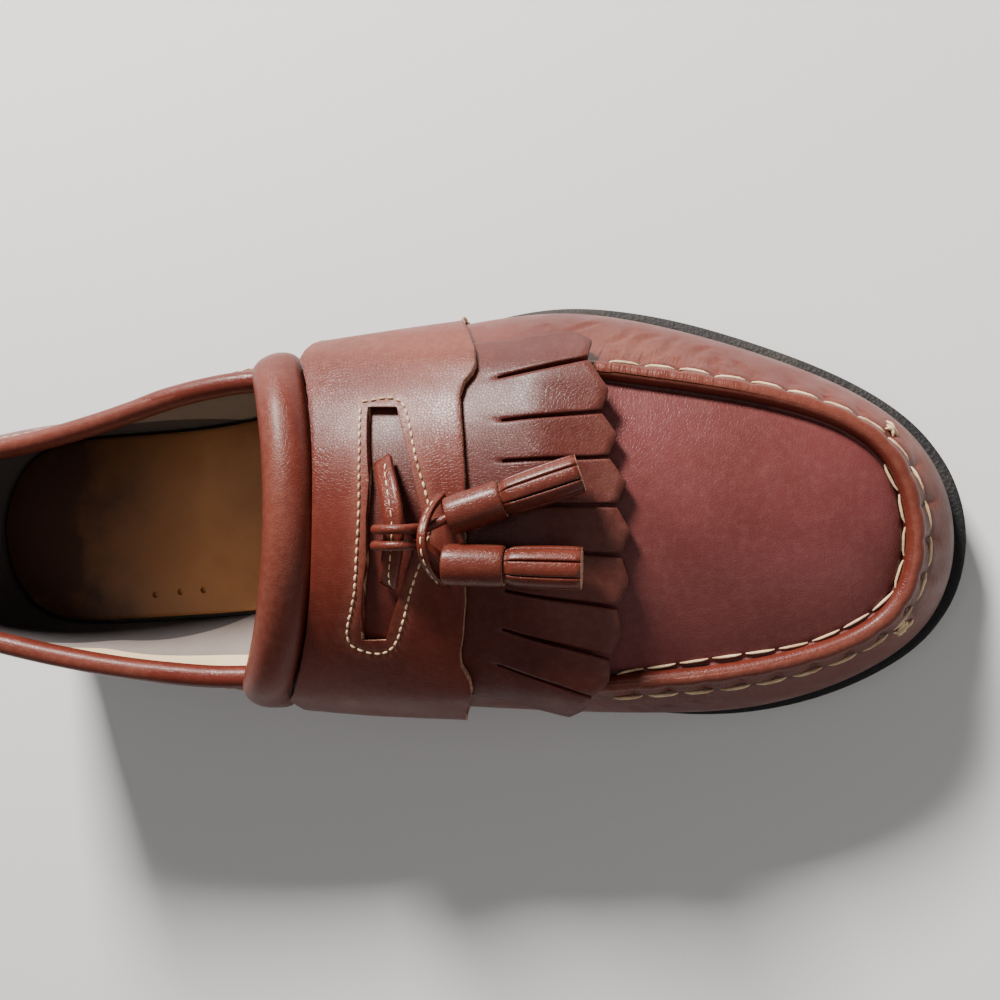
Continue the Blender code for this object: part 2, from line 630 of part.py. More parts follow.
# Kiltie's strips in plan: the slits from root to end, x and y of each, and the points between them
SLITS = (
    ((196.0, 45.4), (214.5, 45.4)), ((200.3, 35.1), (220.6, 37.6)), ((202.7, 24.7), (224.2, 26.0)),
    ((203.7, 15.4), (225.8, 15.8)), ((204.2, 5.9), (227.5, 5.1)), ((204.5, -3.8), (228.3, -6.0)),
    ((203.6, -13.2), (227.0, -17.5)), ((201.8, -22.2), (224.6, -29.0)), ((199.0, -31.0), (219.8, -37.4)),
    ((194.5, -39.8), (212.0, -43.6)),
)
STRIP_POINTS = ((220.6, 42.0), (225.8, 31.0), (227.9, 20.7), (229.9, 10.0), (230.7, -1.0), (230.1, -12.0),
                (227.8, -23.4), (224.4, -34.2), (218.0, -40.4))
SLIT_WIDTH = 0.7
KILTIE_REAR = 165.5                      # hidden under the saddle
KILTIE_REAR_CURVE = 0.0065
KILTIE_UNDER = 5                         # lines from its hidden rear edge to the roots of the strips
KILTIE_FREE = 3                          # lines from the roots to the points
STRIP_CURL = (0.9, 1.3, 0.8, 1.5, 0.9, 1.4, 0.8, 1.3, 0.9)   # how far each point stands off the plug


def make_kiltie():
    grid = []
    for line in range(KILTIE_UNDER + KILTIE_FREE):
        out = max(line - KILTIE_UNDER + 1, 0) / KILTIE_FREE
        under = min(line / (KILTIE_UNDER - 1), 1)
        row = []
        for left, right, tip, curl in zip(SLITS, SLITS[1:], STRIP_POINTS, STRIP_CURL):
            ends = np.array([left[1], tip, right[1]])
            for across in np.linspace(0, 1, 5):
                inside = across + (0.5 - across) * SLIT_WIDTH / (left[0][1] - right[0][1])
                root = np.array(left[0]) * (1 - inside) + np.array(right[0]) * inside
                end = np.array([np.interp(inside, (0, 0.5, 1), ends[:, axis]) for axis in range(2)])
                rear = np.array([KILTIE_REAR - KILTIE_REAR_CURVE * root[1] ** 2, root[1]])
                x, y = rear + (root - rear) * under + (end - root) * out
                over_ridge = 0.8 * float(smooth(26, 40, abs(y)))
                row.append((x, y, on_cover_at(x, y), out * (curl + over_ridge)))
        grid.append(row)
    grid = np.array(grid)
    points = grid[..., :3] + outward_normals(grid[..., :3]) * (GAP + grid[..., 3:])
    slits = {(i, 5 * n + 4) for n in range(len(STRIP_POINTS) - 1)
             for i in range(KILTIE_UNDER - 1, len(grid) - 1)}
    return add_shell("kiltie", points, LEATHER, PLUM, slits)


# Thong and tassels, in millimetres of the last

def swept(path, width, thickness, ups):
    """Flat strip along a path, its face turned to the given directions."""
    path = np.array(path, float)
    ups = np.array(ups, float)
    along = np.gradient(path, axis=0)
    rings = []
    for point, direction, up in zip(path, along, ups):
        direction = direction / np.linalg.norm(direction)
        side = np.cross(direction, up)
        side = side / np.linalg.norm(side)
        face = np.cross(side, direction)
        rings.append([point + side * width * a / 2 + face * thickness * b / 2
                      for a, b in ((-1, -1), (1, -1), (1, 1), (-1, 1))])
    return loft(rings)


KEEPER_WIDTH = 4.6
KEEPER_THICK = 1.5
# Keeper's bridge from slit to slit of the window's floor: x, y, z
KEEPER_FEET = ((176.3, 17.0), (177.3, -12.0))
KEEPER_RISE = 8.0
KEEPER_BOW = 6.2                         # how far its middle leans towards the toe


CORD_RADIUS = 1.2
CORD_SIDES = 8
WRAP_HALF = (5.0, 3.6)                   # half width and half height of a turn
WRAP_PLACES = (1.2, -2.4)                # y of the two turns
WRAP_AHEAD = 0.6                         # the turns' middle stands ahead of the keeper's


def tube(path, radius, closed=False):
    """Round cord along a path of points."""
    path = np.array(path, float)
    along = np.roll(path, -1, axis=0) - np.roll(path, 1, axis=0) if closed else np.gradient(path, axis=0)
    rings = []
    for point, direction in zip(path, along):
        direction = direction / np.linalg.norm(direction)
        side = np.cross(direction, (0.0, 1.0, 0.0) if closed else (0.0, 0.0, 1.0))
        side = side / np.linalg.norm(side)
        up = np.cross(side, direction)
        turns = np.arange(CORD_SIDES) * 2 * math.pi / CORD_SIDES
        rings.append([point + radius * (side * math.cos(t) + up * math.sin(t)) for t in turns])
    if not closed:
        return loft(rings)
    builder = bmesh.new()
    loops = [add_loop(builder, ring) for ring in rings]
    for low, high in zip(loops, loops[1:] + loops[:1]):
        bridge(builder, low, high)
    return builder


def keeper_point(t):
    """Middle of the keeper's strip, from its outer foot to its inner one."""
    (x0, y0), (x1, y1) = KEEPER_FEET
    floor = [on_cover_at(*foot) + LEATHER + 4 * GAP + KEEPER_THICK / 2 for foot in KEEPER_FEET]
    rise = math.sin(math.pi * t)
    return np.array([x0 + (x1 - x0) * t + KEEPER_BOW * rise, y0 + (y1 - y0) * t,
                     floor[0] + (floor[1] - floor[0]) * t + KEEPER_RISE * rise ** 0.8])


def make_thong_keeper():
    path = [keeper_point(t) for t in np.linspace(0, 1, 13)]
    return add_object("thong_keeper", swept(path, KEEPER_WIDTH, KEEPER_THICK, [(0.1, 0, 1)] * 13), BROWN)


def wrap_middle(y):
    """Middle of a turn of the thong round the keeper."""
    t = (KEEPER_FEET[0][1] - y) / (KEEPER_FEET[0][1] - KEEPER_FEET[1][1])
    return keeper_point(t) + (WRAP_AHEAD, 0, 0)


def make_thong_wraps():
    for index, y in enumerate(WRAP_PLACES, 1):
        x, _, z = wrap_middle(y)
        turns = np.linspace(0, 2 * math.pi, 18, endpoint=False)
        path = [(x + WRAP_HALF[0] * math.cos(t), y, z + WRAP_HALF[1] * math.sin(t)) for t in turns]
        add_object(f"thong_wrap_{index}", tube(path, CORD_RADIUS, closed=True), RUSSET)


# Tassels: plan of the sleeve's end and of the skirt's end, sleeve's length, radius
TASSELS = {
    "a": ((194.6, 3.6), (223.0, 12.4), 12.5, 4.5),
    "b": ((193.2, -6.9), (223.0, -8.2), 13.5, 4.8),
}
SLEEVE_WALL = 1.2
SKIRT_STRIPS = 8
STRIP_ROUND = ((-0.44, 1.0), (0.0, 1.05), (0.44, 1.0), (0.5, 0.5))   # share of a strip's angle, share of radius
SADDLE_TOP = SADDLE_LIFT + LEATHER       # over the cover
KILTIE_TOP = GAP + LEATHER
TASSEL_CLEAR = 0.8


def tassel_axis(key):
    (x0, y0), (x1, y1), _, radius = TASSELS[key]
    rear = np.array([x0, y0, on_cover_at(x0, y0) + SADDLE_TOP + TASSEL_CLEAR + radius])
    front = np.array([x1, y1, on_cover_at(x1, y1) + KILTIE_TOP + 4.4 + TASSEL_CLEAR + radius])
    return rear, front


def turned(origin, axis, profile, sides):
    """Rings about an axis; a profile point is a distance along it, a radius, and how deep the slits are."""
    side = np.cross(axis, (0.0, 0.0, 1.0))
    side = side / np.linalg.norm(side)
    up = np.cross(side, axis)
    rings = []
    for distance, radius, slit in profile:
        ring = []
        for angle, share in sides:
            reach = radius * (1 + (share - 1) * slit)
            ring.append(origin + axis * distance + reach * (side * math.cos(angle) + up * math.sin(angle)))
        rings.append(ring)
    return rings


def make_tassels():
    for key, (_, _, sleeve, radius) in TASSELS.items():
        rear, front = tassel_axis(key)
        length = np.linalg.norm(front - rear)
        axis = (front - rear) / length
        inner = radius - SLEEVE_WALL
        core = inner - GAP
        sides = [(2 * math.pi * k / 16, 1.0) for k in range(16)]
        wall = ((0.0, inner, 0), (0.0, radius - 0.3, 0), (0.4, radius, 0), (sleeve - 0.4, radius, 0),
                (sleeve, radius - 0.3, 0), (sleeve, inner, 0))
        rings = turned(rear, axis, wall, sides)
        builder = bmesh.new()
        loops = [add_loop(builder, ring) for ring in rings]
        for low, high in zip(loops, loops[1:] + loops[:1]):
            bridge(builder, low, high)
        add_object(f"tassel_cap_{key}", builder, RUSSET)
        strip = 2 * math.pi / SKIRT_STRIPS
        slit_sides = [(strip * (k + turn), share) for k in range(SKIRT_STRIPS) for turn, share in STRIP_ROUND]
        skirt = ((2.2, core, 0.0), (sleeve + GAP, core, 0.0), (sleeve + 1.2, radius - 0.5, 0.25),
                 (sleeve + 3.0, radius - 0.3, 0.9), (length - 5.0, radius, 1.0), (length, radius - 0.2, 1.0))
        add_object(f"tassel_skirt_{key}", loft(turned(rear, axis, skirt, slit_sides)), RUSSET)


def make_thong_cords():
    for key, y in zip(TASSELS, WRAP_PLACES):
        rear, front = tassel_axis(key)
        axis = (front - rear) / np.linalg.norm(front - rear)
        start = wrap_middle(y) + (WRAP_HALF[0] + CORD_RADIUS + GAP, 0, -1.0)
        end = rear + axis * 0.9
        middle = (start + end) / 2 - (0, 0, 0.5)
        path = [(1 - t)**2 * start + 2 * t * (1 - t) * middle + t**2 * end for t in np.linspace(0, 1, 6)]
        add_object(f"thong_cord_{key}", tube(path, CORD_RADIUS), RUSSET)


BAND_FEET = ((191.2, 8.4), (191.0, -12.0))
BAND_WIDTH = 2.0
BAND_THICK = 1.2


def make_thong_band():
    """Flat strip over the two cords, from the saddle on one side to the saddle on the other."""
    (x0, y0), (x1, y1) = BAND_FEET
    low = [on_cover_at(*foot) + SADDLE_TOP + GAP + BAND_THICK / 2 for foot in BAND_FEET]
    crest = wrap_middle(WRAP_PLACES[0])[2] + CORD_RADIUS + 1.4 - min(low)
    path = []
    for t in np.linspace(0, 1, 13):
        path.append((x0 + (x1 - x0) * t, y0 + (y1 - y0) * t,
                     low[0] + (low[1] - low[0]) * t + crest * math.sin(math.pi * t) ** 0.7))
    return add_object("thong_band", swept(path, BAND_WIDTH, BAND_THICK, [(0, 0, 1)] * 13), RUSSET)


def main():
    make_outsole()
    make_heel()
    make_insole()
    make_upper()
    make_saddle()
    make_saddle_roll()
    make_kiltie()
    make_thong_keeper()
    make_thong_wraps()
    make_tassels()
    make_thong_cords()
    make_thong_band()


for old in list(bpy.data.objects):
    bpy.data.objects.remove(old, do_unlink=True)
shoe = bpy.data.collections.new("kiltie_loafer")
bpy.context.scene.collection.children.link(shoe)
cutters = bpy.data.collections.new("cutters")
bpy.context.scene.collection.children.link(cutters)
main()
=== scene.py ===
"""A left kiltie loafer: mahogany leather upper with a moccasin seam, a saddle, a fringed kiltie,
a knotted thong with two tassels, and a black rubber sole. Lengths in the tables are millimetres
on the axes of the last: X from heel to toe, +Y to the outer side of the foot, Z up.
"""
import math
import random

import bmesh
import bpy
import numpy as np
from mathutils import Matrix, Vector
from mathutils.bvhtree import BVHTree


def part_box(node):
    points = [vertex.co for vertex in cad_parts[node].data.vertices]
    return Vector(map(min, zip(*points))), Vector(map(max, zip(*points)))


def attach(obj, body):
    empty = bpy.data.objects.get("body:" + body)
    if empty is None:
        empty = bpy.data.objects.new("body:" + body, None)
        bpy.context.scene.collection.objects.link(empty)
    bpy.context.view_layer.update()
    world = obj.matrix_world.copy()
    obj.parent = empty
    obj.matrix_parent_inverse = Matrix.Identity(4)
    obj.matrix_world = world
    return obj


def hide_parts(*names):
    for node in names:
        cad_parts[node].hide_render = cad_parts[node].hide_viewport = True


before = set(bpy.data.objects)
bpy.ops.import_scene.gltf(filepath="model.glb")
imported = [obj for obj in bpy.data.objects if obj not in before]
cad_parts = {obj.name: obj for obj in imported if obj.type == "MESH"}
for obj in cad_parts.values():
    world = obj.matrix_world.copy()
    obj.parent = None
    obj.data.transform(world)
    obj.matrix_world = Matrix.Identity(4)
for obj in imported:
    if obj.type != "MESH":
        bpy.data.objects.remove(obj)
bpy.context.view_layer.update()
random.seed(7)

# Outsole and heel block: one black rubber compound with a fine moulded texture on its edge, dull,
# and dusty along the outer side. The sole is cemented under the upper and the heel block under it.
MM = 0.001
LAST_MIDDLE = Vector((152.0, 4.15, 0.0))       # the point of the last over the frame's origin
WELD = 0.02 * MM                               # vertices closer than this are one
HARD_FOLD = math.radians(50)                   # a sharper fold stays an edge
FLAT_FOLD = math.radians(35)                   # triangles flatter than this are joined
SHEET_EDGE = 2.2 * MM                          # a face narrower than this is the edge of a sheet


def at(point):
    """A point of the last, in metres in the frame."""
    return (Vector(point) - LAST_MIDDLE) * MM


def added(tree, kind, inputs=None, **settings):
    """A node of a material, with its settings, and its inputs given as values or as sockets."""
    made = tree.nodes.new(kind)
    for key, value in settings.items():
        setattr(made, key, value)
    for key, value in (inputs or {}).items():
        if isinstance(value, bpy.types.NodeSocket):
            tree.links.new(value, made.inputs[key])
        else:
            made.inputs[key].default_value = value
    return made


def blended(tree, share, first, second):
    """The colour first where share is 0 and second where it is 1."""
    mix = added(tree, "ShaderNodeMix", data_type="RGBA")
    for index, value in ((0, share), (6, first), (7, second)):
        if isinstance(value, bpy.types.NodeSocket):
            tree.links.new(value, mix.inputs[index])
        else:
            mix.inputs[index].default_value = value if index == 0 else (*value, 1.0)
    return mix.outputs[2]


def spread(tree, value, low, high, to_low=0.0, to_high=1.0):
    """A value mapped from one range to another, and held inside it."""
    return added(tree, "ShaderNodeMapRange", {"Value": value, "From Min": low, "From Max": high,
                                              "To Min": to_low, "To Max": to_high}).outputs["Result"]


def painted(tree, name):
    """What the maker painted on the piece under that name, from 0 to 1."""
    return added(tree, "ShaderNodeAttribute", attribute_name=name).outputs["Fac"]


def blank(name, roughness, **sockets):
    """A new material, its tree, its shader and the place on the piece that its patterns read."""
    material = bpy.data.materials.new(name)
    material.use_nodes = True
    tree = material.node_tree
    shader = tree.nodes["Principled BSDF"]
    shader.inputs["Roughness"].default_value = roughness
    for key, value in sockets.items():
        shader.inputs[key.replace("_", " ")].default_value = value
    place = added(tree, "ShaderNodeTexCoord").outputs["Object"]
    return material, tree, shader, place


def noise(tree, place, scale, detail=4.0, roughness=0.55):
    """Soft clouds, so many to a metre."""
    return added(tree, "ShaderNodeTexNoise", {"Vector": place, "Scale": scale, "Detail": detail,
                                              "Roughness": roughness}).outputs["Fac"]


def bumped(tree, shader, heights):
    """Bumps laid over each other: pairs of a height and how far it stands out, in millimetres."""
    normal = None
    for height, distance in heights:
        bump = added(tree, "ShaderNodeBump", {"Height": height, "Strength": 1.0, "Distance": distance * MM})
        if normal:
            tree.links.new(normal, bump.inputs["Normal"])
        normal = bump.outputs["Normal"]
    tree.links.new(normal, shader.inputs["Normal"])


def dressed(node, name, materials, fold=0.85, raw_edge=False):
    """A smooth copy of a CAD node, which stands for it. raw_edge gives cut edges the second material."""
    shape = bmesh.new()
    shape.from_mesh(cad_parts[node].data)
    bmesh.ops.remove_doubles(shape, verts=shape.verts, dist=WELD)
    bmesh.ops.join_triangles(shape, faces=shape.faces, angle_face_threshold=FLAT_FOLD,
                             angle_shape_threshold=math.radians(100))
    folds = shape.edges.layers.float.new("crease_edge")
    hard = set()
    for edge in shape.edges:
        if len(edge.link_faces) == 2 and edge.calc_face_angle(0.0) > HARD_FOLD:
            edge[folds] = fold
            hard.add(edge)
    for face in shape.faces:
        face.smooth = True
        face.material_index = 0
        thin = min(edge.calc_length() for edge in face.edges) < SHEET_EDGE
        needed = 2 if len(face.verts) > 3 else 1
        if raw_edge and thin and sum(edge in hard for edge in face.edges) >= needed:
            face.material_index = 1
    mesh = bpy.data.meshes.new(name)
    shape.to_mesh(mesh)
    shape.free()
    piece = bpy.data.objects.new(name, mesh)
    bpy.context.scene.collection.objects.link(piece)
    rounding = piece.modifiers.new("rounding", "SUBSURF")
    rounding.levels = rounding.render_levels = 2
    piece.data = bpy.data.meshes.new_from_object(piece.evaluated_get(bpy.context.evaluated_depsgraph_get()))
    piece.modifiers.clear()
    piece.data.name = name
    piece.data.materials.clear()
    for material in materials:
        piece.data.materials.append(material)
    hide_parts(node)
    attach(piece, "root")
    return piece


def make_rubber():
    material, tree, shader, place = blank("black_sole_rubber", 0.72, Specular_IOR_Level=0.35)
    dust = noise(tree, place, 60.0, 6.0)
    across = added(tree, "ShaderNodeSeparateXYZ", {"Vector": place})
    outer = spread(tree, across.outputs["Y"], -0.01, 0.055, 0.42, 0.78)
    wear_dust_and_painted_shade = added(tree, "ShaderNodeMath", {0: dust, 1: outer}, operation="MULTIPLY").outputs[0]
    colour = blended(tree, spread(tree, wear_dust_and_painted_shade, 0.26, 0.66), (0.011, 0.011, 0.012), (0.052, 0.042, 0.034))
    tree.links.new(colour, shader.inputs["Base Color"])
    pebbles = added(tree, "ShaderNodeTexVoronoi", {"Vector": place, "Scale": 1150.0}).outputs["Distance"]
    bumped(tree, shader, [(pebbles, 0.22), (noise(tree, place, 420.0, 3.0), 0.12)])
    return material


rubber = make_rubber()
dressed("outsole", "sole", [rubber], fold=0.9)
dressed("heel", "heel_block", [rubber], fold=0.9)

# Insole: a tan leather sock over the footbed, darkened under the heel with painted shade, the shadow of
# the collar, and with three punched holes in a row on the inner side. It is glued down, and its front half
# runs out of sight under the vamp.
PUNCHED = ((68.1, -20.8, 25.8), (77.2, -19.8, 24.8), (85.5, -19.2, 23.8))
PUNCH_RADIUS = 1.05 * MM
PUNCH_DEPTH = 2.0 * MM


def make_sock_leather():
    material, tree, shader, place = blank("tan_sock_leather", 0.5)
    along = added(tree, "ShaderNodeSeparateXYZ", {"Vector": place})
    clouds = noise(tree, place, 42.0, 5.0)
    # Toward the heel the tan goes dark: painted shade, the shadow that the collar casts on the sock.
    toward_heel = spread(tree, along.outputs["X"], -0.062, -0.128)
    wear_dust_and_painted_shade = added(tree, "ShaderNodeMath", {0: toward_heel, 1: clouds}, operation="MULTIPLY").outputs[0]
    tan = blended(tree, spread(tree, clouds, 0.35, 0.65), (0.27, 0.11, 0.036), (0.35, 0.155, 0.055))
    colour = blended(tree, spread(tree, wear_dust_and_painted_shade, 0.02, 0.36), tan, (0.05, 0.018, 0.009))
    tree.links.new(colour, shader.inputs["Base Color"])
    grain = added(tree, "ShaderNodeTexVoronoi", {"Vector": place, "Scale": 800.0}).outputs["Distance"]
    bumped(tree, shader, [(clouds, 0.25), (grain, 0.05)])
    return material


insole = dressed("insole", "insole_sock", [make_sock_leather()])
punch = bmesh.new()
for place in PUNCHED:
    bmesh.ops.create_cone(punch, cap_ends=True, segments=16, radius1=PUNCH_RADIUS,
                          radius2=PUNCH_RADIUS, depth=PUNCH_DEPTH, matrix=Matrix.Translation(at(place)))
punch_mesh = bpy.data.meshes.new("punch")
punch.to_mesh(punch_mesh)
punch.free()
punch_tool = bpy.data.objects.new("punch", punch_mesh)
bpy.context.scene.collection.objects.link(punch_tool)
holes = insole.modifiers.new("holes", "BOOLEAN")
holes.object = punch_tool
insole.data = bpy.data.meshes.new_from_object(insole.evaluated_get(bpy.context.evaluated_depsgraph_get()))
insole.modifiers.clear()
bpy.data.objects.remove(punch_tool)

# Upper: one piece of pull-up leather round the foot, 2 mm with its lining, closed to the plug on top
# by a raised moccasin seam and rolled over a cord at the collar. It is lasted and glued to the sole.
RIDGE_LINE = ((194.0, 41.6), (213.0, 39.0), (231.0, 35.7), (249.0, 32.2), (265.5, 28.0), (278.0, 22.6),
              (286.0, 15.4), (290.0, 6.4), (291.2, -3.0), (290.0, -12.2), (286.0, -20.2), (278.0, -26.4),
              (265.5, -31.0), (249.0, -34.5), (231.0, -36.4), (212.0, -38.4), (192.5, -40.4))
COLLAR_LINE = ((129.0, -41.6, 55.6), (116.5, -41.6, 58.6), (102.0, -40.6, 61.4), (86.0, -38.6, 65.2),
               (64.0, -34.4, 70.4), (42.0, -28.6, 76.4), (21.0, -22.4, 81.6), (8.6, -13.6, 84.2),
               (3.6, 0.0, 85.0), (8.6, 13.6, 84.2), (21.0, 21.8, 81.6), (42.0, 25.6, 76.4),
               (64.0, 28.8, 70.4), (88.0, 34.4, 65.2), (106.0, 39.6, 61.4), (121.5, 42.4, 58.6),
               (134.5, 43.4, 55.6))
SEAM_LINE = ((224.0, 39.2, 48.2), (231.6, 38.3, 45.7), (240.5, 37.3, 42.7), (249.6, 35.1, 41.4),
             (258.5, 33.0, 39.6), (267.3, 30.0, 38.3), (275.8, 26.4, 36.4), (282.0, 22.6, 34.4),
             (287.4, 17.6, 32.8), (290.9, 11.8, 31.5), (293.6, 4.4, 30.4), (294.6, -3.6, 29.9),
             (293.9, -10.5, 30.2), (291.6, -17.2, 30.9), (288.0, -23.0, 31.8), (283.0, -28.2, 32.8),
             (276.2, -32.2, 34.0), (265.5, -36.4, 35.5), (251.8, -39.4, 37.9), (237.7, -41.2, 41.0),
             (226.0, -41.8, 43.5), (220.0, -42.4, 45.2))
BASE_LINE = ((224.6, -35.0, 49.6), (232.6, -33.4, 47.5), (244.0, -31.4, 45.7), (255.1, -29.8, 43.4),
             (266.0, -28.0, 40.7), (273.6, -25.0, 39.1), (279.0, -22.4, 37.7), (283.3, -19.0, 36.4),
             (286.5, -15.7, 35.7), (288.1, -11.2, 34.8), (289.0, -5.6, 33.9), (289.0, 0.2, 34.7),
             (288.1, 5.9, 35.2), (284.6, 13.6, 36.2))
WALL_CREASES = (
    ((222.1, 44.5, 40.9), (226.5, 48.8, 33.0), (225.0, 52.8, 25.1)),
    ((228.7, 42.3, 41.5), (229.5, 46.0, 35.0), (233.3, 47.9, 28.5)),
    ((234.7, 40.4, 41.2), (236.6, 44.0, 34.0), (238.0, 48.1, 25.6)),
    ((241.9, 39.7, 38.9), (243.0, 42.0, 34.0), (245.5, 44.7, 27.8)),
    ((211.2, 48.8, 39.5), (215.0, 50.5, 34.0), (218.2, 52.5, 28.9)),
    ((246.5, 38.1, 38.4), (248.5, 39.8, 33.0)),
    ((253.2, 37.2, 36.5), (252.6, 39.6, 32.0)),
    ((203.9, 48.6, 41.6), (204.5, 51.0, 35.0), (200.0, 52.4, 29.0)),
)
INNER_CREASES = (
    ((226.0, -44.0, 37.0), (228.0, -48.0, 28.0)),
    ((233.0, -43.5, 36.0), (236.0, -46.0, 27.0)),
    ((241.0, -42.0, 35.0), (242.0, -45.0, 28.0)),
)
BACK_SEAM = ((2.0, 0.0, 76.0), (1.0, 0.0, 60.0), (0.5, 0.0, 44.0), (2.0, 0.0, 28.0))
GATHERS = (214.0, 5.0, 9)                      # small pleats by the seam: first x, pitch, how many
PLUG_STREAK = (900.0, 120.0, 300.0)            # fine lines of the plug's grain, across the shoe
PLUG_TURN = math.radians(38)
SCALLOP_PITCH = 8.6
SCALLOP_HEIGHT = 1.25
SCALLOP_MIDDLE = 3.6                           # outside the ridge's middle line
SCALLOP_WIDTH = 1.7
SCALLOPS_FROM = 222                            # x at which they start, ahead of the kiltie
FACING_EDGE = ((40, 90), (55, 62), (60.7, 46), (77, 46.7), (91, 42), (110, 36.2), (140, 33))
COUNTER_EDGE = ((30, 90), (50, 60), (57.9, 39), (75.7, 37), (88.7, 29.8), (101.5, 21.8), (112, 8), (300, 0))
PLUG_INSET = 2.2                               # from the middle of the ridge to the seam's foot
BEAD_RADIUS = 3.0                              # rolled edge of the collar
TOE_FROM = 204.0                               # x ahead of which the mesh is cut finer
LAST_AXIS = (24, 262, 2, 30)                   # middle of the foot: from x, to x, y, z


def curved(points, step=0.6):
    """Points every step millimetres along a smooth curve through these ones, in metres in the frame."""
    knots = np.array([at(tuple(p) + (0.0,) * (3 - len(p))) for p in points])
    ends = np.vstack([2 * knots[0] - knots[1], knots, 2 * knots[-1] - knots[-2]])
    t = np.linspace(0, 1, 12, endpoint=False)[:, None]
    run = []
    for a, b, c, d in zip(ends, ends[1:], ends[2:], ends[3:]):
        run.append(0.5 * (2 * b + (c - a) * t + (2 * a - 5 * b + 4 * c - d) * t**2
                          + (3 * b - a - 3 * c + d) * t**3))
    run = np.vstack(run + [knots[-1:]])
    length = np.concatenate([[0], np.cumsum(np.linalg.norm(np.diff(run, axis=0), axis=1))])
    wanted = np.linspace(0, length[-1], max(2, round(length[-1] / (step * MM)) + 1))
    return np.column_stack([np.interp(wanted, length, run[:, i]) for i in range(3)])


def surface_of(piece):
    return BVHTree.FromPolygons([v.co for v in piece.data.vertices], [p.vertices for p in piece.data.polygons])


def laid(run, surface):
    """The curve moved onto a surface, with the surface's direction at each point."""
    found = [surface.find_nearest(Vector(p)) for p in run]
    return np.array([f[0] for f in found]), np.array([f[1] for f in found])


def vertices_of(piece):
    """Places and directions of a piece's vertices."""
    flat = np.zeros(len(piece.data.vertices) * 3, np.float32)
    piece.data.vertices.foreach_get("co", flat)
    facing = np.zeros(len(flat), np.float32)
    piece.data.vertex_normals.foreach_get("vector", facing)
    return flat.reshape(-1, 3).astype(float), facing.reshape(-1, 3).astype(float)


def reshaped(piece, places):
    piece.data.vertices.foreach_set("co", places.astype(np.float32).ravel())
    piece.data.update()


def nearest_on(places, run):
    """For each place its distance to the curve and how far along it that is, in millimetres."""
    length = np.concatenate([[0], np.cumsum(np.linalg.norm(np.diff(run, axis=0), axis=1))])
    best = np.full(len(places), 1e9)
    along = np.zeros(len(places))
    for point, so_far in zip(run, length):
        gap = np.linalg.norm(places - point, axis=1)
        closer = gap < best
        best[closer], along[closer] = gap[closer], so_far
    return best / MM, along / MM, length[-1] / MM


def pressed(piece, surface, line, depth, width, lip=0.35):
    """A soft trough along a line, with a low lip on each side. A negative depth makes it a ridge."""
    places, normals = vertices_of(piece)
    gap, along, length = nearest_on(places, laid(curved(line), surface)[0])
    fade = np.clip(np.minimum(along, length - along) / (0.25 * length), 0, 1) ** 0.7
    push = -depth * np.exp(-(gap / width) ** 2) + lip * depth * np.exp(-((gap - 1.9 * width) / width) ** 2)
    push[gap > 5 * width] = 0.0
    reshaped(piece, places + normals * (push * fade * MM)[:, None])


def paint(piece, name, values):
    layer = piece.data.attributes.get(name) or piece.data.attributes.new(name, "FLOAT", "POINT")
    layer.data.foreach_set("value", np.clip(values, -50, 50).astype(np.float32))


def make_leather(name, colour, pale, deep, roughness=0.36, coat=0.05, grain=0.026,
                 streak=(700.0, 160.0, 300.0), turn=0.0):
    """Polished, slightly waxy leather. It darkens where "shade" is painted, goes pale and dull where
    "wear" is, and puckers where "creased" is.
    """
    material, tree, shader, place = blank(name, roughness, Coat_Weight=coat, Coat_Roughness=0.25,
                                          Specular_IOR_Level=0.2)
    clouds = noise(tree, place, 26.0, 5.0, 0.6)
    flecks = noise(tree, place, 520.0, 3.0, 0.6)
    base = blended(tree, spread(tree, clouds, 0.32, 0.68), deep, colour)
    base = blended(tree, spread(tree, flecks, 0.45, 0.8, 0.0, 0.12), base, pale)
    wear_dust_and_painted_shade = added(tree, "ShaderNodeMath", {0: painted(tree, "wear"),
                                          1: spread(tree, flecks, 0.3, 0.6, 0.5, 1.0)},
                 operation="MULTIPLY").outputs[0]
    base = blended(tree, wear_dust_and_painted_shade, base, pale)
    base = blended(tree, painted(tree, "shade"), base, tuple(0.18 * c for c in deep))
    tree.links.new(base, shader.inputs["Base Color"])
    uneven = spread(tree, noise(tree, place, 140.0, 4.0), 0.3, 0.7, roughness - 0.06, roughness + 0.09)
    dull = added(tree, "ShaderNodeMath", {0: painted(tree, "wear"), 1: 0.2}, operation="MULTIPLY").outputs[0]
    tree.links.new(added(tree, "ShaderNodeMath", {0: uneven, 1: dull}, operation="ADD").outputs[0],
                   shader.inputs["Roughness"])
    pores = added(tree, "ShaderNodeTexVoronoi", {"Vector": place, "Scale": 1250.0}, feature="DISTANCE_TO_EDGE")
    heights = [(spread(tree, pores.outputs["Distance"], 0.0, 0.12), grain), (flecks, 0.8 * grain)]
    drawn = added(tree, "ShaderNodeMapping", {"Vector": place, "Rotation": (0.0, 0.0, turn), "Scale": streak})
    lines = noise(tree, drawn.outputs["Vector"], 1.0, 3.0, 0.6)
    heights.append((lines, 2.6 * grain))
    folded = added(tree, "ShaderNodeMapping", {"Vector": place, "Rotation": (0.0, 0.0, 0.12),
                                               "Scale": (560.0, 90.0, 70.0)})
    folds = added(tree, "ShaderNodeMath", {0: noise(tree, folded.outputs["Vector"], 1.0, 3.0, 0.6),
                                           1: painted(tree, "creased")}, operation="MULTIPLY").outputs[0]
    heights.append((folds, 1.4))
    bumped(tree, shader, heights)
    return material


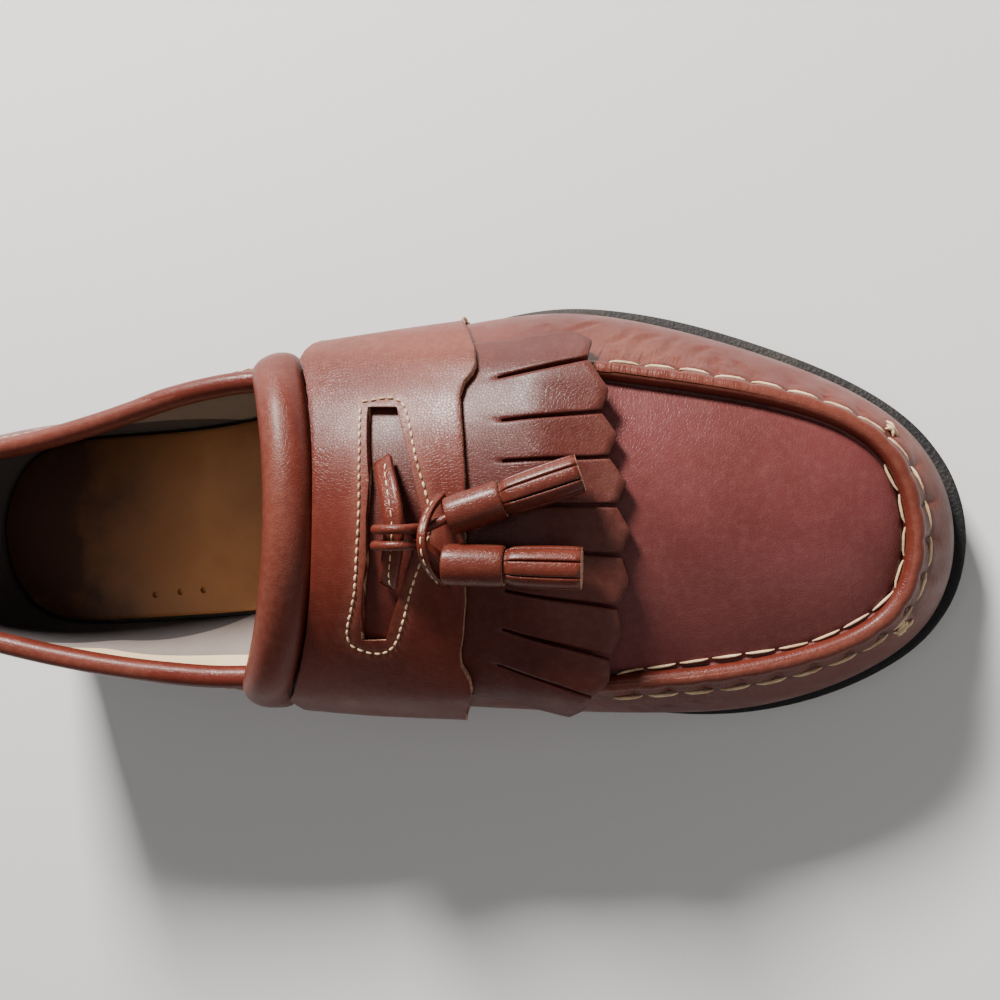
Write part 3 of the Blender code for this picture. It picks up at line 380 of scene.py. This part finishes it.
def make_lining():
    """Grey leather lining: charcoal round the heel, taupe at the quarters, cream facing along the collar on the
    inner side. On the outer side, which lies in shade, the facing is left taupe as painted shade.
    """
    material, tree, shader, place = blank("shoe_lining", 0.68)
    clouds = noise(tree, place, 70.0, 5.0)
    taupe = blended(tree, clouds, (0.17, 0.14, 0.125), (0.26, 0.22, 0.2))
    cream = blended(tree, clouds, (0.62, 0.47, 0.27), (0.74, 0.6, 0.38))
    charcoal = blended(tree, clouds, (0.035, 0.032, 0.034), (0.075, 0.066, 0.066))
    base = blended(tree, spread(tree, painted(tree, "facing"), -0.2, 0.2), taupe, cream)
    base = blended(tree, spread(tree, painted(tree, "counter"), -0.2, 0.2), base, charcoal)
    tree.links.new(base, shader.inputs["Base Color"])
    pores = added(tree, "ShaderNodeTexVoronoi", {"Vector": place, "Scale": 900.0}).outputs["Distance"]
    bumped(tree, shader, [(pores, 0.06), (clouds, 0.2)])
    return material


MAHOGANY = (0.135, 0.025, 0.0155)
MAHOGANY_PALE = (0.27, 0.1, 0.066)
MAHOGANY_DEEP = (0.085, 0.013, 0.008)
mahogany = make_leather("mahogany_leather", MAHOGANY, MAHOGANY_PALE, MAHOGANY_DEEP)
plug_leather = make_leather("plug_leather", (0.16, 0.042, 0.043), (0.31, 0.15, 0.13), (0.11, 0.026, 0.024),
                            streak=PLUG_STREAK, turn=PLUG_TURN)
upper = dressed("upper", "upper_leather", [mahogany, plug_leather, make_lining()])

ridge = curved(RIDGE_LINE)
collar = curved(COLLAR_LINE)


def inside_ridge(places):
    """How far inside the ridge's middle line each place is in plan, in millimetres."""
    flat_places = places * (1, 1, 0)
    flat_ridge = ridge * (1, 1, 0)
    gap, along, length = nearest_on(flat_places, flat_ridge)
    nearest = np.interp(along, np.linspace(0, length, len(ridge)), np.arange(len(ridge))).round().astype(int)
    tangent = np.gradient(flat_ridge, axis=0)[nearest]
    away = flat_places - flat_ridge[nearest]
    side = np.sign(tangent[:, 1] * away[:, 0] - tangent[:, 0] * away[:, 1])
    return side * gap


# The upper's faces round the toe are cut finer, so that they can take the scallops and creases
fine = bmesh.new()
fine.from_mesh(upper.data)
toe_side = at((TOE_FROM, 0, 0)).x
near_toe = [e for e in fine.edges if min(v.co.x for v in e.verts) > toe_side
            and min(v.co.z for v in e.verts) > 21 * MM and e.calc_length() > 0.9 * MM]
bmesh.ops.subdivide_edges(fine, edges=near_toe, cuts=1, use_grid_fill=True, smooth=0.0)
bmesh.ops.triangulate(fine, faces=[f for f in fine.faces if len(f.verts) > 4])
for face in fine.faces:
    face.smooth = True
fine.to_mesh(upper.data)
fine.free()

places, normals = vertices_of(upper)
axis_rear, axis_front = at((LAST_AXIS[0], 0, 0)).x, at((LAST_AXIS[1], 0, 0)).x
axis_y = at((0, LAST_AXIS[2], 0)).y
middle = np.column_stack([np.clip(places[:, 0], axis_rear, axis_front),
                          np.full(len(places), axis_y), np.full(len(places), LAST_AXIS[3] * MM)])
outwards = np.sum(normals * (places - middle), axis=1)
middle_of_collar = np.column_stack([np.clip(collar[:, 0], axis_rear, None),
                                    np.full(len(collar), axis_y), collar[:, 2]])
to_middle = middle_of_collar - collar
bead = collar + to_middle * BEAD_RADIUS * MM / np.linalg.norm(to_middle, axis=1)[:, None]
bead_gap, _, _ = nearest_on(places, bead)
inset = inside_ridge(places)
last_x = places[:, 0] / MM + LAST_MIDDLE.x
first_surface = surface_of(upper)
ahead = places[:, 0] > toe_side
UPWARDS = Vector((0, 0, 1))
covered = np.array([in_toe and first_surface.ray_cast(Vector(p + n * 0.2 * MM), UPWARDS)[0] is not None
                    for p, n, in_toe in zip(places, normals, ahead)])
plug_vertex = ((inset > PLUG_INSET) & ~covered & (outwards > -10 * MM) & (normals[:, 2] > 0.1)
               & (last_x > 150))
lining_vertex = np.where(ahead, covered & ((outwards < 0) | (normals[:, 2] < -0.5)),
                         (outwards < 0) & ((bead_gap > BEAD_RADIUS + 0.5) | (last_x > 127)))
for face in upper.data.polygons:
    corners = list(face.vertices)
    if sum(lining_vertex[i] for i in corners) >= 3:
        face.material_index = 2
    elif sum(plug_vertex[i] for i in corners) >= 3:
        face.material_index = 1
    else:
        face.material_index = 0


def edge_height(corners, x):
    """Height of a lining's edge, drawn through its corners and rounded over them."""
    grid = np.arange(-20, 330)
    heights = np.pad(np.interp(grid, *zip(*corners)), 9, mode="edge")
    return np.interp(x, grid, np.convolve(heights, np.ones(19) / 19, "valid"))


# The cream facing is painted on the inner side only. On the outer side, where the collar lies in shade, it is
# left taupe: painted shade.
paint(upper, "facing", np.where(places[:, 1] < 0, places[:, 2] / MM - edge_height(FACING_EDGE, last_x), -50))
paint(upper, "counter", edge_height(COUNTER_EDGE, last_x) - places[:, 2] / MM)

seam = laid(curved(SEAM_LINE), surface_of(upper))[0]
seam_gap, seam_along, seam_length = nearest_on(places, seam)
outside = (outwards > 0) & (inset < 0.5)
between = np.exp(-((inset + SCALLOP_MIDDLE) / SCALLOP_WIDTH) ** 2) * outside * (last_x > SCALLOPS_FROM)
scallop = np.abs(np.sin(np.pi * seam_along / SCALLOP_PITCH)) ** 0.45
ends = np.clip(np.minimum(seam_along, seam_length - seam_along) / 14, 0, 1)
push = (SCALLOP_HEIGHT * (scallop - 0.75) * between
        - 0.25 * np.exp(-(seam_gap / 0.8) ** 2) * outside
        - 0.25 * np.exp(-((inset - PLUG_INSET - 0.2) / 0.8) ** 2) * (outwards > 0) * (last_x > 200)) * ends
reshaped(upper, places + normals * (push * MM)[:, None])
seam_surface = surface_of(upper)
for crease in WALL_CREASES:
    pressed(upper, seam_surface, crease, 0.5, 0.95)
for crease in INNER_CREASES:
    pressed(upper, seam_surface, crease, 0.35, 1.0)
for step in range(GATHERS[2]):
    x = GATHERS[0] + GATHERS[1] * step + random.uniform(-1, 1)
    top = np.interp(x, (214, 231, 256), (45.5, 44.0, 39.0))
    y = np.interp(x, (214, 231, 256), (41.0, 40.0, 36.0))
    foot = (x + 0.8, y + 2.2, top - 4.5 - random.uniform(0, 2))
    pressed(upper, seam_surface, ((x, y, top), foot), 0.28, 0.7)
pressed(upper, seam_surface, BACK_SEAM, 0.35, 1.0, lip=0.6)
places, normals = vertices_of(upper)
sole_line = np.interp(last_x, (0, 60, 200, 290), (26, 24, 16, 20))
feather = np.exp(-((places[:, 2] / MM - sole_line) / 3.0) ** 2)
ridge_crown = np.exp(-(inset / 1.6) ** 2) * (outwards > 0) * (places[:, 2] > 34 * MM) * (last_x > 196)
toe_rub = np.exp(-((last_x - 292) / 8) ** 2) * (places[:, 2] < 32 * MM) * (outwards > 0)
crease_zone = (np.exp(-((last_x - 230) / 15) ** 2) * np.exp(-((places[:, 2] / MM - 38) / 7) ** 2)
               * (places[:, 1] > 0))
bead_crown = (bead_gap < BEAD_RADIUS + 0.6) * np.clip(normals[:, 2], 0, 1) ** 2 * (last_x < 135)
paint(upper, "wear", 0.3 * ridge_crown + 0.2 * toe_rub + 0.3 * crease_zone * (outwards > 0)
      + 0.25 * bead_crown + 0.1 * feather * (outwards > 0))
paint(upper, "shade", 0.75 * np.exp(-((inset - PLUG_INSET) / 0.9) ** 2) * (outwards > 0) * (last_x > 196)
      + 0.5 * np.exp(-(seam_gap / 0.9) ** 2) * outside + 0.45 * feather * (outwards > 0))
paint(upper, "creased", 0.9 * outside * np.exp(-((last_x - 228) / 24) ** 2)
      * np.exp(-((seam_gap - 3) / 6) ** 2))
upper_surface = surface_of(upper)

# Collar ends: the rolled edge of the collar runs on over its cord as far as the saddle's roll. The
# rear end of each run is thinner, so that it slips into the roll behind it.
COLLAR_ENDS = (COLLAR_LINE[:4], COLLAR_LINE[-4:])
END_FULLNESS = 0.78                            # share of its thickness at the rear end
END_TAPER = 16.0
THROAT_MIDDLE = at((70, 2, 0))


def finished(name, shape, material):
    """A new piece from its shape, riding with the shoe."""
    for face in shape.faces:
        face.smooth = True
    mesh = bpy.data.meshes.new(name)
    shape.to_mesh(mesh)
    shape.free()
    mesh.materials.append(material)
    piece = bpy.data.objects.new(name, mesh)
    bpy.context.scene.collection.objects.link(piece)
    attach(piece, "root")
    return piece


collar_ends = bpy.data.curves.new("collar_ends", "CURVE")
collar_ends.dimensions = "3D"
collar_ends.bevel_depth = (BEAD_RADIUS + 0.02) * MM
collar_ends.bevel_resolution = 6
collar_ends.use_fill_caps = True
for line in COLLAR_ENDS:
    run = curved(line, 1.5)
    inwards = (np.array(THROAT_MIDDLE)[:2] - run[:, :2]) * (0, 1)
    run[:, :2] += inwards / np.linalg.norm(inwards, axis=1)[:, None] * BEAD_RADIUS * MM
    from_rear = (run[:, 0] - run[:, 0].min()) / (END_TAPER * MM)
    fullness = END_FULLNESS + (1 - END_FULLNESS) * np.clip(from_rear, 0, 1)
    spline = collar_ends.splines.new("POLY")
    spline.points.add(len(run) - 1)
    for point, place, share in zip(spline.points, run, fullness):
        point.co = (*place, 1.0)
        point.radius = share
drawn = bpy.data.objects.new("collar_ends", collar_ends)
bpy.context.scene.collection.objects.link(drawn)
tubes = bmesh.new()
tubes.from_mesh(bpy.data.meshes.new_from_object(drawn.evaluated_get(bpy.context.evaluated_depsgraph_get())))
bpy.data.objects.remove(drawn)
bmesh.ops.remove_doubles(tubes, verts=tubes.verts, dist=WELD)
finished("collar_roll_ends", tubes, mahogany)

# Threads: waxed cream linen, thick and loose along the hand-sewn moccasin seam, fine and even where
# a machine sewed it. Each stitch dips into the leather at its two ends.
KNOTS = ((286.8, 21.5, 30.5), (288.6, -25.4, 30.2))
KNOT_TURNS = 9
KNOT_RADIUS = 0.5 * MM
COLLAR_SEAM_OUT = 1.2 * MM                     # the row of the collar, from the collar's line
COLLAR_SEAM_DOWN = 4.6 * MM
# Line, pitch, length and radius of the stitches in the two rows sewn by hand
HAND_SEWN = {
    "seam_stitches": (SEAM_LINE, SCALLOP_PITCH, 7.8, 0.46),
    "base_stitches": (BASE_LINE, 7.6, 7.3, 0.34),
}


def make_thread():
    material, tree, shader, place = blank("cream_thread", 0.75)
    dirt = noise(tree, place, 190.0, 4.0)
    colour = blended(tree, spread(tree, dirt, 0.35, 0.7), (0.78, 0.6, 0.38), (0.42, 0.26, 0.14))
    tree.links.new(colour, shader.inputs["Base Color"])
    bumped(tree, shader, [(noise(tree, place, 2600.0, 2.0), 0.12)])
    return material


cream_thread = make_thread()


def add_stitch(shape, start, end, normal, radius):
    """One stitch: a slim round thread bowed up between its two holes."""
    along = (end - start).normalized()
    normal = (normal - along * normal.dot(along)).normalized()
    turned = Matrix((along, normal.cross(along), normal)).transposed().to_4x4()
    length = (end - start).length
    made = bmesh.ops.create_uvsphere(shape, u_segments=8, v_segments=6, radius=1.0)["verts"]
    bmesh.ops.rotate(shape, verts=made, matrix=Matrix.Rotation(math.pi / 2, 3, "Y"))
    for vertex in made:
        share = vertex.co.x
        vertex.co = Vector((share * length / 2, vertex.co.y * radius, vertex.co.z * radius))
        vertex.co.z += radius * (0.75 - 1.4 * share**6)
    bmesh.ops.transform(shape, matrix=Matrix.Translation((start + end) / 2) @ turned, verts=made)


def sewn(name, line, pitch, stitch, radius, surface):
    """A row of stitches of one length and radius, laid along a line on a surface at a pitch."""
    shape = bmesh.new()
    run, facing = laid(line, surface)
    length = np.concatenate([[0], np.cumsum(np.linalg.norm(np.diff(run, axis=0), axis=1))]) / MM
    for k in range(int(length[-1] // pitch)):
        middle = (k + 0.5) * pitch
        ends = [Vector([np.interp(middle + side * stitch / 2, length, run[:, i]) for i in range(3)])
                for side in (-1, 1)]
        normal = Vector([np.interp(middle, length, facing[:, i]) for i in range(3)]).normalized()
        add_stitch(shape, *ends, normal, radius * MM)
    return finished(name, shape, cream_thread)


for name, (line, pitch, stitch, radius) in HAND_SEWN.items():
    sewn(name, curved(line), pitch, stitch, radius, upper_surface)
knots = bmesh.new()
for knot in KNOTS:
    middle, facing = (Vector(v[0]) for v in laid([at(knot)], upper_surface))
    for turn in range(KNOT_TURNS):
        reach = Vector((random.uniform(-1, 1), random.uniform(-1, 1), random.uniform(-1, 1)))
        reach = (reach - facing * reach.dot(facing)).normalized() * random.uniform(1.3, 2.8) * MM
        offset = Vector([random.uniform(-0.9, 0.9) * MM for _ in range(3)])
        add_stitch(knots, middle + offset - reach, middle + offset + reach,
                   (facing + 0.3 * reach.normalized()).normalized(), KNOT_RADIUS)
finished("seam_knots", knots, cream_thread)
collar_seam = []
for point, tangent in zip(collar, np.gradient(collar, axis=0)):
    side = np.array((-tangent[1], tangent[0], 0.0))
    side /= np.linalg.norm(side)
    side *= -np.sign(np.dot(side, (np.array(THROAT_MIDDLE) - point) * (1, 1, 0)))
    collar_seam.append(point + side * COLLAR_SEAM_OUT + np.array((0, 0, -COLLAR_SEAM_DOWN)))
sewn("collar_stitches", np.array(collar_seam), 3.4, 2.5, 0.24, upper_surface)

# Saddle: a band of thick smooth leather over the instep, sewn down into the sole at both ends, with
# a long window cut through it. A row of stitches runs round the window.
WINDOW_STITCHES = ((168.1, 31.4, 67), (178.3, 30.9, 65.9), (184.4, 16.7, 71.1), (188.2, 2.4, 72.6),
                   (183.1, -12, 72.1), (174.5, -28, 67), (164.4, -26.4, 69.1), (169.1, -13.1, 74.2),
                   (171.5, 3.2, 75.7), (170.8, 17.1, 73.4), (168.1, 31.4, 67))
SCRATCH = ((157.7, 46.4, 55.9), (156.7, 40.6, 61.9), (155.5, 37.9, 64.0))
SKIVE = 0.9                                    # thinned by this much toward the sole
SPACING = 2.4                                  # the longest edge of its mesh
ROUNDED = 0.28 * MM                            # how far its cut edges are rounded
RELAXED = 6                                    # times that its faces are smoothed


def make_raw_edge():
    """Cut edge of the leather, paler than its face, with loose fibres. Part of that paleness is a painted
    highlight, the light that cut edges catch.
    """
    material, tree, shader, place = blank("raw_leather_edge", 0.85)
    fibres = noise(tree, place, 1500.0, 4.0)
    # Tan of the cut edge, lightened further as a painted highlight.
    colour = blended(tree, spread(tree, fibres, 0.35, 0.65), (0.25, 0.12, 0.07), (0.5, 0.3, 0.19))
    tree.links.new(colour, shader.inputs["Base Color"])
    bumped(tree, shader, [(fibres, 0.25)])
    return material


raw_edge = make_raw_edge()


def cut_from(node, name, materials):
    """A smooth copy of a CAD node that is cut through, where a subdivision surface would pull at the cut."""
    shape = bmesh.new()
    shape.from_mesh(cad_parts[node].data)
    bmesh.ops.remove_doubles(shape, verts=shape.verts, dist=WELD)
    marks = shape.edges.layers.int.new("hard_edge")
    sharp = {e for e in shape.edges if len(e.link_faces) == 2 and e.calc_face_angle(0.0) > HARD_FOLD}
    for edge in sharp:
        edge[marks] = 1
    for face in shape.faces:
        thin = min(e.calc_length() for e in face.edges) < SHEET_EDGE
        upright = thin and abs(face.normal.z) < 0.55 and any(e in sharp for e in face.edges)
        face.material_index = 1 if upright else 0
    for _ in range(3):
        long = [e for e in shape.edges if e.calc_length() > SPACING * MM]
        bmesh.ops.subdivide_edges(shape, edges=long, cuts=1)
        bmesh.ops.triangulate(shape, faces=[f for f in shape.faces if len(f.verts) > 3])
    held = {v for e in shape.edges if e[marks] for v in e.verts}
    loose = [v for v in shape.verts if v not in held]
    for _ in range(RELAXED):
        bmesh.ops.smooth_vert(shape, verts=loose, factor=0.5, use_axis_x=True, use_axis_y=True, use_axis_z=True)
    rim_edges = [e for e in shape.edges if e[marks]]
    bmesh.ops.bevel(shape, geom=rim_edges, offset=ROUNDED, offset_type="OFFSET", segments=2, profile=0.5,
                    affect="EDGES", clamp_overlap=True, material=-1)
    piece = finished(name, shape, materials[0])
    for material in materials[1:]:
        piece.data.materials.append(material)
    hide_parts(node)
    return piece


saddle = cut_from("saddle", "saddle_leather", [mahogany, raw_edge])
saddle_top = surface_of(saddle)
pressed(saddle, saddle_top, SCRATCH, 0.08, 0.35)
pressed(saddle, saddle_top, WINDOW_STITCHES, 0.3, 0.7, lip=0.3)
places, normals = vertices_of(saddle)
outer_face = normals[:, 1] * np.sign(places[:, 1]) > 0.35
skived = np.clip((48 - places[:, 2] / MM) / 20, 0, 1) * SKIVE
places = places - normals * (skived * outer_face * MM)[:, None]
reshaped(saddle, places)
window_gap, _, _ = nearest_on(places, curved(WINDOW_STITCHES))
paint(saddle, "wear", 0.35 * np.exp(-(window_gap / 2.0) ** 2)
      + 0.3 * np.exp(-((places[:, 2] / MM - 52) / 9) ** 2) * (places[:, 1] > 0))
paint(saddle, "shade", 0.55 * np.exp(-((places[:, 2] / MM - 17) / 5) ** 2))
sewn("window_stitches", curved(WINDOW_STITCHES), 2.15, 1.75, 0.3, surface_of(saddle))

# Roll: the saddle's rear edge, turned over a thick cord and sewn down. It is of the saddle's leather
# and hooks over the collar at both ends.
roll = dressed("saddle_roll", "saddle_roll_leather", [mahogany])
places, normals = vertices_of(roll)
paint(roll, "wear", 0.3 * np.clip(normals[:, 2], 0, 1) ** 3)

# Kiltie: a fringed tongue of thick darker leather, laid over the vamp and held under the saddle. Its
# nine strips end in points that stand a little off the plug, and its cut edges are left raw.
plum = make_leather("plum_leather", (0.1, 0.021, 0.015), (0.24, 0.1, 0.08), (0.062, 0.012, 0.009),
                    roughness=0.4, grain=0.028)
kiltie = dressed("kiltie", "kiltie_leather", [plum, raw_edge], fold=0.95, raw_edge=True)
places, normals = vertices_of(kiltie)
paint(kiltie, "wear", 0.2 * np.clip((places[:, 0] - at((215, 0, 0)).x) / 0.014, 0, 1) * (normals[:, 2] > 0.3))

# Thong: a keeper strap sewn down at both ends in the window, two turns of cord round it, and a band
# that holds both cords where they run out to the tassels. All are soft russet leather.
russet = make_leather("russet_leather", (0.125, 0.0215, 0.0115), (0.3, 0.115, 0.07), (0.075, 0.012, 0.007),
                      roughness=0.32, coat=0.14, grain=0.03)
keeper = dressed("thong_keeper", "thong_keeper_strap", [russet, raw_edge], fold=0.8,
                 raw_edge=True)
for node in ("thong_wrap_1", "thong_wrap_2", "thong_cord_a", "thong_cord_b"):
    dressed(node, node + "_leather", [russet])
band = dressed("thong_band", "thong_band_leather", [russet, raw_edge], fold=0.8,
               raw_edge=True)


CROWN_POINTS = 40
CROWN_MARGIN = 1.2 * MM                        # kept clear of the strap's two ends
CROWN_SLICE = 1.1 * MM                         # half the width of the slice that a point is taken from
CROWN_SKIN = 1.6 * MM                          # depth under its top that counts as the top


def crown_of(piece):
    """The line along the top of a strap, from one end of it to the other."""
    surface = surface_of(piece)
    low = np.array([v.co for v in piece.data.vertices]).min(axis=0)
    high = np.array([v.co for v in piece.data.vertices]).max(axis=0)
    found = []
    for y in np.linspace(low[1] + CROWN_MARGIN, high[1] - CROWN_MARGIN, CROWN_POINTS):
        slice_of = [v.co for v in piece.data.vertices if abs(v.co.y - y) < CROWN_SLICE]
        top = max(p.z for p in slice_of)
        xs = [p.x for p in slice_of if p.z > top - CROWN_SKIN]
        hit = surface.ray_cast(Vector(((min(xs) + max(xs)) / 2, y, top + 10 * MM)), Vector((0, 0, -1)))
        if hit[0] is not None:
            found.append(hit[0])
    return np.array(found)


for piece, name in ((keeper, "keeper_stitches"), (band, "band_stitches")):
    sewn(name, crown_of(piece), 2.6, 1.9, 0.2, surface_of(piece))

# Tassels: a strip of thin leather cut into a fringe and rolled round the end of each cord, under a
# glued sleeve. The ends show the raw tan of the leather's flesh side.
tassel_leather = make_leather("tassel_leather", (0.125, 0.023, 0.0125), (0.3, 0.12, 0.07), (0.075, 0.0125, 0.007),
                              roughness=0.34, coat=0.14, grain=0.03)
# The same pale tan as the cut edges, partly a painted highlight.
tassel_flesh = make_raw_edge()
tassel_flesh.name = "tan_flesh_side"
for key in "ab":
    cap = dressed("tassel_cap_" + key, "tassel_sleeve_" + key, [tassel_leather, tassel_flesh],
                  fold=0.9)
    skirt = dressed("tassel_skirt_" + key, "tassel_fringe_" + key,
                    [tassel_leather, tassel_flesh], fold=0.9)
    for piece in (cap, skirt):
        box_low, box_high = (Vector(c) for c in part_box("tassel_skirt_" + key))
        axis = (box_high - box_low)
        axis = Vector((axis.x, axis.y * (0.35 if key == "a" else -0.1), -0.12 * axis.x)).normalized()
        for face in piece.data.polygons:
            if abs(face.normal.dot(axis)) > 0.8:
                face.material_index = 1

# Floor, light and camera. The camera stands where the photograph was taken from, over the toe.
CAMERA_AT = (275.0, 7.0, 258.0)
CAMERA_TILT = math.radians(20.6)
CAMERA_ROLL = math.radians(1.44)
CAMERA_LENS = 32.4
FLOOR_GREY = 0.72
FLOOR_HALF = 3.0
WARM_LIGHT = (1.0, 0.95, 0.9)
# Place, size in metres and power in watts of each lamp
LAMPS = {
    "key": ((-0.35, 1.2, 0.86), 0.35, 71.0),
    "fill": ((0.9, -0.7, 0.9), 1.2, 3.0),
    "top": ((0.1, 0.1, 1.5), 1.0, 2.5),
}
LAMPS_AIM = Vector((0.02, 0, 0.04))


def make_floor():
    shape = bmesh.new()
    bmesh.ops.create_grid(shape, x_segments=1, y_segments=1, size=FLOOR_HALF)
    mesh = bpy.data.meshes.new("floor")
    shape.to_mesh(mesh)
    shape.free()
    floor = bpy.data.objects.new("floor", mesh)
    bpy.context.scene.collection.objects.link(floor)
    material, tree, shader, place = blank("pale_floor", 0.8)
    shader.inputs["Base Color"].default_value = (FLOOR_GREY, FLOOR_GREY, FLOOR_GREY, 1.0)
    mesh.materials.append(material)


make_floor()
world = bpy.data.worlds.new("studio")
bpy.context.scene.world = world
world.use_nodes = True
world.node_tree.nodes["Background"].inputs["Color"].default_value = (0.95, 0.97, 1.0, 1.0)
world.node_tree.nodes["Background"].inputs["Strength"].default_value = 0.15
for name, (place, size, power) in LAMPS.items():
    light = bpy.data.lights.new(name, "AREA")
    light.size = size
    light.energy = power
    light.color = WARM_LIGHT
    lamp = bpy.data.objects.new(name, light)
    lamp.location = place
    lamp.rotation_euler = (LAMPS_AIM - Vector(place)).to_track_quat("-Z", "Y").to_euler()
    bpy.context.scene.collection.objects.link(lamp)

camera = bpy.data.objects.new("camera", bpy.data.cameras.new("camera"))
camera.data.lens = CAMERA_LENS
camera.data.clip_start = 0.01
camera.matrix_world = (Matrix.Translation(at(CAMERA_AT)) @ Matrix.Rotation(CAMERA_TILT, 4, "Y")
                       @ Matrix.Rotation(-CAMERA_ROLL, 4, "Z"))
bpy.context.scene.collection.objects.link(camera)
bpy.context.scene.camera = camera
